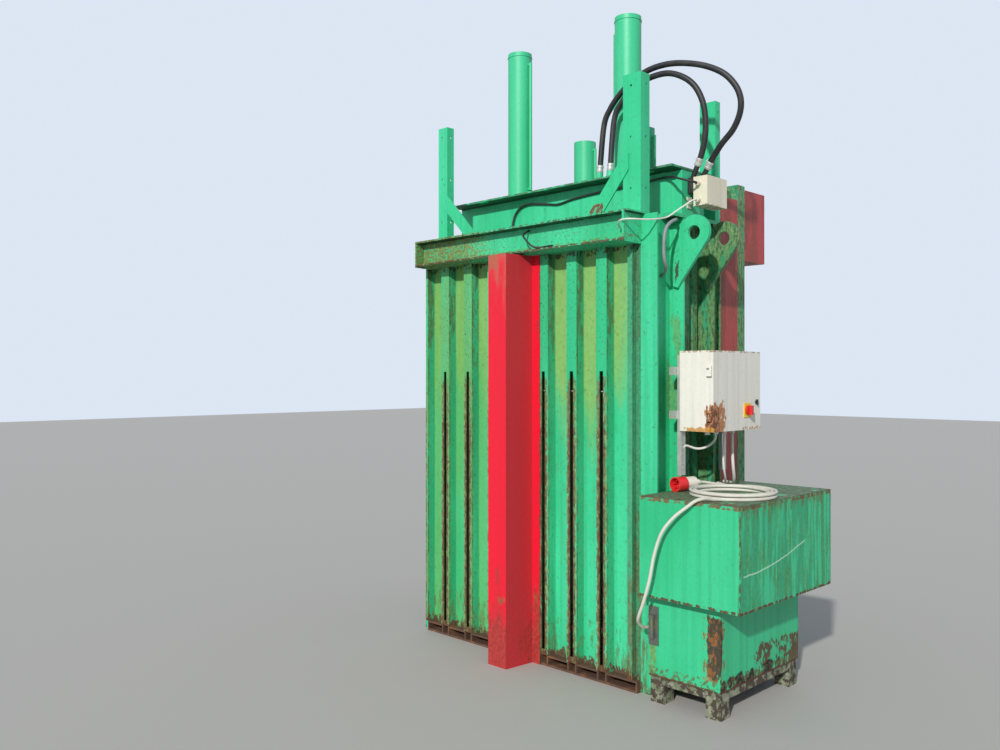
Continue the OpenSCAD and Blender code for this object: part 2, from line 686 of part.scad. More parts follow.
module cabinet_door() {
  px = cab_x1 + 8;
  x = cab_x1 + cab_door_t;
  color(cream) difference() {
    union() {
      difference() {
        block(cab_x1 + 1, x, cab_y0 + 1, cab_y1, cab_z0, cab_z1);
        block(cab_x1 - 5, x - 3, cab_y0 + 16, cab_y1 - 12, cab_z0 + 12, cab_z1 - 12);
      }
      rod_x(x - 10, x - 1, knob_y, knob_z, 20);
      rod_x(x - 10, x - 1, key_y, key_z, 14);
      for (z = [cab_z0 + 79, cab_z1 - 100]) {
        rod(px, cab_pin_y, z - 13.5, z + 13.5, 7);
        block(px - 4, px + 4, cab_pin_y, cab_y0 + 2, z - 13.5, z + 13.5);
      }
    }
    for (z = [cab_z0 + 79, cab_z1 - 100]) rod(px, cab_pin_y, z - 15, z + 15, 4 + fit);
    rod_x(cab_x1 - 5, x + 10, knob_y, knob_z, 8 + 0.3);
    rod_x(cab_x1 - 5, x + 10, key_y, key_z, 6 + fit);
  }
}
module isolator_plate() {
  x = cab_x1 + cab_door_t;
  color([0.85, 0.72, 0.1]) difference() {
    block(x, x + 4, knob_y - 33, knob_y + 33, knob_z - 36, knob_z + 36);
    rod_x(x - 5, x + 10, knob_y, knob_z, 8 + fit);
  }
}
module isolator_knob() {
  x = cab_x1 + cab_door_t;
  color(crimson) {
    rod_x(x - 9, x + 8, knob_y, knob_z, 8);
    rod_x(x + 4, x + 16, knob_y, knob_z, 25);
    block(x + 15, x + 34, knob_y - 7, knob_y + 7, knob_z - 24, knob_z + 24);
  }
}
module cabinet_lock() {
  x = cab_x1 + cab_door_t;
  color(black) {
    rod_x(x - 9, x + 2, key_y, key_z, 6);
    rod_x(x, x + 5, key_y, key_z, 10);
    block(x + 4, x + 12, key_y - 4, key_y + 4, key_z - 14, key_z + 14);
  }
}

// valve terminal box on an arm from the crosshead end
module junction_box() {
  x0 = head_x + 93;
  x1 = head_x + 165;
  color(cream) {
    difference() {
      block(x0, x1, jb_y0, jb_y1, jb_z0, jb_z1);
      block(x0 + 4, x1 + 5, jb_y0 + 4, jb_y1 - 4, jb_z0 + 4, jb_z1 - 4);
    }
    block(head_x, x0 + 1, -60, -20, jb_z0 + 32, jb_z0 + 38);
    block(head_x, head_x + 6, -60, -20, jb_z0 + 12, jb_z0 + 72);
    for (z = [jb_z0 + 27, jb_z0 + 112]) rod_y(head_x + 128, jb_y0 - 25, jb_y0 + 1, z, 12);
  }
}
module junction_lid() {
  color(cream) block(head_x + 165, head_x + 175, jb_y0, jb_y1, jb_z0, jb_z1);
}
module valve_block() {
  color(black) {
    block(head_x, head_x + 78, -52, 78, valve_z0, valve_z0 + 80);
    for (p = [moved(outer_route), moved(inner_route)]) stub(p[0], -start_of(p), 70, hose_r - 2);
    rod(head_x + 39, 60, valve_z0 - 60, valve_z0 + 1, 20);
  }
}

// hydraulic hoses, from the valve block over to the crosshead
outer_route = [[916, 30, 2690], [945, 26, 2730], [1015, 10, 2800], [1088, 0, 2860], [1133, -10, 2930],
  [1145, -20, 3000], [1125, -35, 3070], [1070, -55, 3140], [980, -75, 3195], [870, -96, 3232],
  [760, -110, 3250], [650, -125, 3240], [550, -135, 3200], [470, -140, 3145], [405, -140, 3080],
  [360, -140, 2990], [331, -140, 2735]];
inner_route = [[896, -30, 2700], [925, -34, 2760], [950, -42, 2840], [960, -54, 2930], [952, -68, 3020],
  [915, -84, 3105], [850, -100, 3165], [760, -113, 3201], [650, -125, 3196], [560, -134, 3160],
  [485, -140, 3100], [432, -140, 3010], [404, -140, 2735]];
module hose(p) { color(black) tube(p, hose_r, [0, 1, 0], start_of(p), end_of(p)); }
module hose_outer() { hose(moved(outer_route)); }
module hose_inner() { hose(moved(inner_route)); }

// mains lead from the gland of the lower cabinet, over the edge of the lid to its coil
lead_route = [[892, -452.2, 354], [893, -470, 358], [893, -512, 370], [901, -556, 402], [927, -590, 441],
  [968, -606, 523], [1006, -612, 633], [1032, -612, 752], [1069, -606, 859], [1127, -596, 936],
  [1196, -580, 995], [1228, -566, 1023], [1251, -538, 1033], [1256, -498, 1031], [1250, -454.5, 1031]];
// short tail from the plug to the same coil
tail_route = [[975.6, -146.6, 1052], [980, -122, 1051], [986, -95, 1049], [1002, -65, 1044], [1032, -46, 1038],
  [1068, -47, 1033], [1098.5, -65.6, 1031]];
module mains_lead() { color(cream) translate(pack_shift) tube(lead_route, lead_r, [0, 0, 1], [0, -1, 0], unit([-25, 214.5, 0]), 8, 1); }
module mains_tail() { color(cream) translate(pack_shift) tube(tail_route, lead_r, [0, 0, 1], unit([0.184, 0.983, 0]), unit([126.5, -174.4, 0]), 8, 1); }
module mains_coil() {
  color(cream) translate(coil_at + pack_shift) rotate_extrude($fn = 72)
    translate([coil_mean - 25, 0]) square([50, 36]);
}
// five-pin industrial plug lying on the lid
module mains_plug() {
  r = 37;
  color(crimson) translate(pack_shift + [945, -310, 1015 + r]) rotate([0, 0, 79.4]) {
    rotate([0, 90, 0]) difference() {
      cylinder(h = 62, r = r);
      translate([0, 0, -1]) cylinder(h = 45, r = 31);
    }
    for (a = [0:72:300]) rotate([a, 0, 0]) translate([8, 0, 18]) rotate([0, 90, 0]) cylinder(h = 40, r = 3.2);
    rotate([0, 90, 0]) translate([0, 0, 61]) cylinder(h = 72, r = 33);
    rotate([0, 90, 0]) translate([0, 0, 132]) cylinder(h = 34, r = 16);
  }
}

base_frame();
rear_wall();
side_wall_right();
side_wall_left();
column_rear_right();
column_rear_left();
column_front_right();
column_front_left();
front_post_right();
front_post_left();
rear_beam();
rear_guard();
side_guard_right();
side_guard_left();
saddle_right();
saddle_left();
crosshead();
ram_barrel_right();
ram_barrel_left();
ram_rod_right();
ram_rod_left();
platen();
gate_beam();
gate_barrel_right();
gate_barrel_left();
gate_rod_right();
gate_rod_left();
loading_gate();
header_box();
bale_door();
door_hinges();
door_lock();
lock_keeper();
upright_rear_right();
upright_rear_left();
upright_front_right();
upright_front_left();
brace_right();
brace_left();
pack_skid();
pack_lower();
pack_upper();
pack_lid();
pack_latch();
cabinet_struts();
cabinet();
cabinet_door();
isolator_plate();
isolator_knob();
cabinet_lock();
junction_box();
junction_lid();
valve_block();
hose_outer();
hose_inner();
mains_lead();
mains_tail();
mains_coil();
mains_plug();
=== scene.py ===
"""Dresses the recycling baler over its fixed frame: worn paint, rust, hoses, mains lead and wiring."""
import logging
import math
from dataclasses import dataclass, field
from enum import Enum
from typing import Any, Optional, Protocol, Sequence, Union

import bpy
import numpy as np
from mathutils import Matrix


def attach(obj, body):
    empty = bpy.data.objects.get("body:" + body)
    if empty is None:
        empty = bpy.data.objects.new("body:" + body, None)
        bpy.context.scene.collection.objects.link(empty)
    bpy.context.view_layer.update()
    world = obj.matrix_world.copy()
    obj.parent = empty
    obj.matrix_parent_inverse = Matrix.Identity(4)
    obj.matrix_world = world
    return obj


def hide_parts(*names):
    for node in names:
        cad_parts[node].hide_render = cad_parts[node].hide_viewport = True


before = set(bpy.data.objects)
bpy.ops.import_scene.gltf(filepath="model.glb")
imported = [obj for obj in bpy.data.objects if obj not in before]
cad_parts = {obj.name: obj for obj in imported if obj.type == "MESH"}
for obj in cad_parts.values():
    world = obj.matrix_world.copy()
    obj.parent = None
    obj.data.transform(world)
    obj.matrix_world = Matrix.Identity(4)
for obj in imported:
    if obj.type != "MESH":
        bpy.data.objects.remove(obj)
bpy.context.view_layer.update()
LOG = logging.getLogger("baler")
Colour = tuple[float, float, float]
Triple = tuple[float, float, float]
Value = Union["Wire", float, int]
# A bound so far out, in metres, that it limits nothing.
FREE = 99.0
# Numbers of the colour sockets of a Mix node.
MIX_FACTOR, MIX_LOW, MIX_HIGH, MIX_RESULT = 0, 6, 7, 2
# Strength of every relief.
RELIEF = 0.6
# Noise level that shows a stain of no cover, and how far it falls to full cover.
CUT_CLEAN = 0.64
CUT_SPAN = 0.28
# Millimetres in a metre.
MILLI = 1000


class Wire:
    """One node socket in an expression; an operator adds its Math node."""

    def __init__(self, net: "Net", socket: Any) -> None:
        """Keeps the tree and the output socket."""
        self.net = net
        self.socket = socket

    def _math(self, operation: str, a: Value, b: Value = 0.0) -> "Wire":
        """Adds a Math node for the operation on a and b."""
        return self.net.add("ShaderNodeMath", {"operation": operation}, {0: a, 1: b})

    def __add__(self, other: Value) -> "Wire":
        """self + other."""
        return self._math("ADD", self, other)

    __radd__ = __add__

    def __mul__(self, other: Value) -> "Wire":
        """self * other."""
        return self._math("MULTIPLY", self, other)

    __rmul__ = __mul__

    def __sub__(self, other: Value) -> "Wire":
        """self - other."""
        return self._math("SUBTRACT", self, other)

    def __rsub__(self, other: Value) -> "Wire":
        """other - self."""
        return self._math("SUBTRACT", other, self)

    def __truediv__(self, other: Value) -> "Wire":
        """self / other."""
        return self._math("DIVIDE", self, other)

    def __mod__(self, other: Value) -> "Wire":
        """Remainder of a positive value."""
        return self._math("MODULO", self, other)

    def __abs__(self) -> "Wire":
        """Absolute value."""
        return self._math("ABSOLUTE", self)

    def ramp(self, low: float, high: float) -> "Wire":
        """Smooth step 3t^2 - 2t^3 with t = (self - low) / (high - low), clamped.

        Args:
            low: value that gives 0.
            high: value that gives 1; below low, the step falls.

        Returns:
            The step.
        """
        settings = {"interpolation_type": "SMOOTHSTEP", "clamp": True}
        values = {"Value": self, "From Min": low, "From Max": high, "To Min": 0.0, "To Max": 1.0}
        return self.net.add("ShaderNodeMapRange", settings, values, "Result")


class Net:
    """The node tree of one material, with a Principled shader at its end."""

    def __init__(self, name: str) -> None:
        """Starts an empty material of that name."""
        self.material = bpy.data.materials.new(name)
        self.material.use_nodes = True
        self.tree = self.material.node_tree
        self.tree.nodes.clear()
        self.shader = self.tree.nodes.new("ShaderNodeBsdfPrincipled")
        out = self.tree.nodes.new("ShaderNodeOutputMaterial")
        self.tree.links.new(self.shader.outputs[0], out.inputs[0])
        self.place = self.add("ShaderNodeTexCoord", {}, {}, "Object")
        split = self.tree.nodes.new("ShaderNodeSeparateXYZ")
        self.feed(split.inputs[0], self.place)
        self.axes: tuple[Wire, Wire, Wire] = tuple(Wire(self, split.outputs[i]) for i in range(3))

    def add(self, kind: str, settings: dict[str, Any], values: dict[Any, Any], out: Any = 0) -> Wire:
        """Adds one node.

        Args:
            kind: the node's type.
            settings: its properties, set first.
            values: constants or wires by input name or number.
            out: name or number of the output that is returned.

        Returns:
            The output as a wire.
        """
        node = self.tree.nodes.new(kind)
        for key, value in settings.items():
            setattr(node, key, value)
        for key, value in values.items():
            self.feed(node.inputs[key], value)
        return Wire(self, node.outputs[out])

    def feed(self, socket: Any, value: Any) -> None:
        """Links a wire to the socket, or sets a constant on it.

        Args:
            socket: the input.
            value: a wire, a number, a vector, or a colour of three numbers.
        """
        if isinstance(value, Wire):
            self.tree.links.new(value.socket, socket)
        elif isinstance(value, (tuple, list)) and len(value) == 3 and socket.type == "RGBA":
            socket.default_value = (*value, 1.0)
        else:
            socket.default_value = value

    def noise(self, scale: Sequence[float], detail: float = 5.0, rough: float = 0.55,
              offset: Sequence[float] = (0.0, 0.0, 0.0)) -> Wire:
        """Noise with its own scale along X, Y and Z.

        Args:
            scale: cycles a metre along each axis.
            detail: octaves.
            rough: weight of each next octave.
            offset: shift of the pattern.

        Returns:
            The noise value, around 0.5.
        """
        where = self.add("ShaderNodeMapping", {},
                         {"Vector": self.place, "Location": tuple(offset), "Scale": tuple(scale)})
        return self.add("ShaderNodeTexNoise", {},
                        {"Vector": where, "Scale": 1.0, "Detail": detail, "Roughness": rough})

    def blend(self, mask: Value, low: Any, high: Any) -> Wire:
        """Mixes two colours: low (1 - mask) + high mask.

        Args:
            mask: 0 to 1.
            low: colour where mask is 0.
            high: colour where mask is 1.

        Returns:
            The mixed colour.
        """
        values = {MIX_FACTOR: mask, MIX_LOW: low, MIX_HIGH: high}
        return self.add("ShaderNodeMix", {"data_type": "RGBA"}, values, MIX_RESULT)

    def finish(self, colour: Any, rough: Value, metal: Value = 0.0, height: Optional[Wire] = None,
               depth: float = 0.001) -> bpy.types.Material:
        """Joins colour, roughness, metal and relief to the shader.

        Args:
            colour: base colour.
            rough: roughness.
            metal: metallic share.
            height: relief, 0 to 1, or none.
            depth: the relief's full height in metres.

        Returns:
            The finished material.
        """
        self.feed(self.shader.inputs["Base Color"], colour)
        self.feed(self.shader.inputs["Roughness"], rough)
        self.feed(self.shader.inputs["Metallic"], metal)
        if height is not None:
            values = {"Strength": RELIEF, "Distance": depth, "Height": height}
            self.feed(self.shader.inputs["Normal"], self.add("ShaderNodeBump", {}, values, "Normal"))
        return self.material


RUST: Colour = (0.115, 0.045, 0.022)
DARK_RUST: Colour = (0.05, 0.026, 0.018)
ORANGE: Colour = (0.42, 0.17, 0.035)
MOSS: Colour = (0.14, 0.27, 0.06)
LICHEN: Colour = (0.30, 0.38, 0.20)
SOOT: Colour = (0.03, 0.055, 0.025)


def cut_level(cover: float) -> float:
    """Noise level above which a stain shows: 0.64 at no cover, falling by 0.28 to full cover."""
    return CUT_CLEAN - CUT_SPAN * cover


class Stain(Protocol):
    """Anything that can say where it lies on a surface."""

    colour: Colour
    mottle: float

    def mask(self, net: Net) -> Wire:
        """0 where the surface is clean, 1 where the stain covers it."""


@dataclass(frozen=True)
class Patch:
    """A stained region: a soft box in object coordinates, broken up by noise and drawn out into drips."""

    colour: Colour
    low: Triple = (-FREE, -FREE, -FREE)
    high: Triple = (FREE, FREE, FREE)
    soft: Triple = (0.05, 0.05, 0.05)
    grain: float = 40.0
    cover: float = 0.5
    drips: float = 1.0
    opacity: float = 0.85
    mottle: float = 0.62
    edge: float = 0.035
    pull: float = 0.45

    def mask(self, net: Net) -> Wire:
        """Noise lowered by pull outside the soft box, cut at the level of the wanted cover.

        Args:
            net: nodes of the material.

        Returns:
            ramp(noise + (box - 1) pull) opacity, where box is the product of one soft step a side.
        """
        scale = (self.grain, self.grain, self.grain / self.drips)
        # The offset differs from patch to patch, so that their patterns don't line up.
        value = net.noise(scale, 5.0, 0.62, (self.cover * 9, self.grain, self.low[2] % 7))
        box: Value = 1.0
        for axis, low, high, soft in zip(net.axes, self.low, self.high, self.soft):
            if low > -FREE:
                box = axis.ramp(low - soft, low + soft) * box
            if high < FREE:
                box = axis.ramp(high + soft, high - soft) * box
        level = cut_level(self.cover)
        if isinstance(box, Wire):
            value = value + (box - 1.0) * self.pull
        return value.ramp(level - self.edge, level + self.edge) * self.opacity


@dataclass(frozen=True)
class SlotStain:
    """Rust and algae bleeding out of the strap slots, both sides of each, with lengths in metres."""

    colour: Colour
    reach: float = 0.034
    top: float = 1.68
    grain: float = 70.0
    cover: float = 0.5
    opacity: float = 0.85
    pitch: float = 0.203
    shift: float = 0.030
    mottle: float = 0.55
    pull: float = 0.34
    edge: float = 0.04
    crest: tuple[float, float] = (-0.425, -0.435)
    fade: float = 0.12
    last: tuple[float, float] = (0.70, 0.68)
    core: float = 0.3
    stretch: float = 3.0

    def mask(self, net: Net) -> Wire:
        """Noise lowered away from the nearest slot, at d = |(x + shift + 5.5 p) mod p - p/2|, on crests only.

        Args:
            net: nodes of the material.

        Returns:
            ramp(noise + (near - 1) pull) opacity, where near is 1 within the core share of the reach
            and falls to 0 at the reach.
        """
        x, y, z = net.axes
        on_wall = y.ramp(*self.crest) * z.ramp(self.top, self.top - self.fade) * x.ramp(*self.last)
        d = abs((x + (self.shift + self.pitch * 5.5)) % self.pitch - self.pitch / 2)
        near = d.ramp(self.reach, self.reach * self.core) * on_wall
        value = net.noise((self.grain, self.grain, self.grain / self.stretch), 5.0, 0.65, (2.0, 5.0, 1.0))
        value = value + (near - 1.0) * self.pull
        level = cut_level(self.cover)
        return value.ramp(level - self.edge, level + self.edge) * self.opacity


@dataclass(frozen=True)
class Scratch:
    """A pale scratch on an end face: the band where z lies within half of a wavy line in y."""

    colour: Colour
    start: tuple[float, float]
    end: tuple[float, float]
    half: float = 0.0030
    mottle: float = 0.9
    opacity: float = 0.8
    waver: float = 0.02

    def mask(self, net: Net) -> Wire:
        """A line z = z0 + t^2 (z1 - z0) with t = (y - y0) / (y1 - y0), shaken by noise.

        Args:
            net: nodes of the material.

        Returns:
            The opacity within half of the line and between its ends, 0 elsewhere.
        """
        _, y, z = net.axes
        (y0, z0), (y1, z1) = self.start, self.end
        t = (y - y0) / (y1 - y0)
        wave = net.noise((9.0, 9.0, 0.1), 3.0) * self.waver
        line = abs(z - (t * t * (z1 - z0) + z0) - wave + self.waver / 2)
        return line.ramp(self.half * 1.5, self.half) * t.ramp(0.0, 0.03) * t.ramp(1.0, 0.97) * self.opacity


@dataclass(frozen=True)
class WornPaint:
    """Old paint: faded, grimy in runs, specked, rusted through in spots, then stained where its patches say."""

    name: str
    colour: Colour
    faded: Colour
    dirt: float = 0.3
    rust: float = 0.2
    specks: float = 0.4
    grime: Colour = (0.10, 0.15, 0.04)
    stains: tuple[Stain, ...] = ()

    def make(self) -> bpy.types.Material:
        """Lays base, long faint runs, grime, specks and rust spots over each other, then the stains in turn.

        Returns:
            The material.
        """
        n = Net(self.name)
        # Noise fields, each with its cycles a metre along X, Y and Z; a low Z draws it out into runs.
        wide = n.noise((2.2, 2.2, 0.9))
        fine = n.noise((60.0, 60.0, 60.0), 3.0)
        lines = n.noise((34.0, 34.0, 0.7), 3.0, 0.5, (1.0, 4.0, 2.0))
        runs = n.noise((17.0, 17.0, 1.1), 6.0, 0.62, (3.0, 1.0, 0.0))
        blot = n.noise((21.0, 21.0, 13.0), 7.0, 0.66, (7.0, 2.0, 5.0))
        # Layers from the bottom up; each ramp is the range of noise over which its layer comes in.
        base = n.blend(wide.ramp(0.36, 0.66), self.colour, self.faded)
        base = n.blend(lines.ramp(0.42, 0.72) * 0.4, base, tuple(c * 0.72 for c in self.colour))
        base = n.blend(fine.ramp(0.35, 0.8) * 0.16, base, tuple(c * 0.6 for c in self.colour))
        base = n.blend(runs.ramp(0.54, 0.76) * self.dirt, base, self.grime)
        tiny = n.noise((150.0, 150.0, 75.0), 2.0, 0.5, (5.0, 5.0, 5.0))
        base = n.blend(tiny.ramp(0.69, 0.73) * wide.ramp(0.45, 0.60) * self.specks, base, SOOT)
        edge = 0.86 - 0.20 * self.rust
        bare = blot.ramp(edge - 0.01, edge + 0.02)
        base = n.blend(blot.ramp(edge - 0.06, edge) * 0.5, base, ORANGE)
        base = n.blend(bare, base, n.blend(fine.ramp(0.3, 0.7), RUST, DARK_RUST))
        rough: Value = 0.38 + 0.18 * wide + 0.3 * bare
        for stain in self.stains:
            mask = stain.mask(n)
            darker = tuple(c * stain.mottle for c in stain.colour)
            base = n.blend(mask, base, n.blend(fine.ramp(0.35, 0.65), stain.colour, darker))
            rough = rough + mask * 0.18
        return n.finish(base, rough, 0.0, fine * 0.25 + blot * 0.4 - bare * 0.5, 0.0018)


@dataclass(frozen=True)
class BareMetal:
    """Bare or plated metal with rubbed runs and dull spots."""

    name: str
    colour: Colour
    spots: Colour
    rough: float
    amount: float = 0.4
    metal: float = 1.0

    def make(self) -> bpy.types.Material:
        """Lays dull spots over rubbed metal where coarse noise is high.

        Returns:
            The material.
        """
        n = Net(self.name)
        coarse = n.noise((14.0, 14.0, 9.0), 7.0, 0.65)
        fine = n.noise((90.0, 90.0, 6.0), 3.0)
        mask = coarse.ramp(0.62 - 0.22 * self.amount, 0.70)
        rubbed = n.blend(fine * 0.4, self.colour, tuple(c * 0.7 for c in self.colour))
        colour = n.blend(mask, rubbed, self.spots)
        height = coarse * 0.5 + fine * 0.2
        return n.finish(colour, self.rough + 0.35 * mask, self.metal * (1 - 0.8 * mask), height, 0.0006)


@dataclass(frozen=True)
class Moulded:
    """Rubber, plastic or sheath with fine grain and a film of dust; a second colour may start along an axis."""

    name: str
    colour: Colour
    dust: Colour
    rough: float = 0.5
    amount: float = 0.35
    second: Optional[Colour] = None
    origin: Triple = (0.0, 0.0, 0.0)
    along: Triple = (1.0, 0.0, 0.0)
    change: float = 0.0

    def make(self) -> bpy.types.Material:
        """Lays dust in soft clouds; the second colour starts where (p - origin) . along passes change.

        Returns:
            The material.
        """
        n = Net(self.name)
        cloud = n.noise((11.0, 11.0, 11.0), 6.0, 0.6)
        grain = n.noise((420.0, 420.0, 420.0), 2.0)
        body: Any = self.colour
        if self.second is not None:
            terms = zip(n.axes, self.origin, self.along)
            across, deep, up = ((axis - start) * part for axis, start, part in terms)
            far = across + deep + up
            body = n.blend(far.ramp(self.change - 0.001, self.change + 0.001), self.colour, self.second)
        colour = n.blend(cloud.ramp(0.42, 0.72) * self.amount, body, self.dust)
        return n.finish(colour, self.rough + 0.2 * cloud, 0.0, grain, 0.0003)


class Finish(Enum):
    """Every finish of the machine, by the piece that it covers."""

    WALL = "wall"
    PANEL = "panel"
    NEAR_COLUMN = "near_column"
    FAR_COLUMN = "far_column"
    BEAM = "beam"
    PRESS = "press"
    BARREL = "barrel"
    PACK = "pack"
    PACK_LOW = "pack_low"
    GUARD = "guard"
    HEADER = "header"
    RODS = "rods"
    ZINC = "zinc"
    FLOOR = "floor"
    SKID = "skid"
    IRON = "iron"
    LATCH = "latch"
    RUBBER = "rubber"
    SHEATH = "sheath"
    WHITE = "white"
    GREY = "grey"
    PLUG = "plug"
    YELLOW = "yellow"
    KNOB = "knob"
    CABINET = "cabinet"
    BOX = "box"


MINT: Colour = (0.022, 0.47, 0.205)
PALE: Colour = (0.05, 0.60, 0.31)
DEEP: Colour = (0.02, 0.36, 0.16)
BOTTOM = -FREE
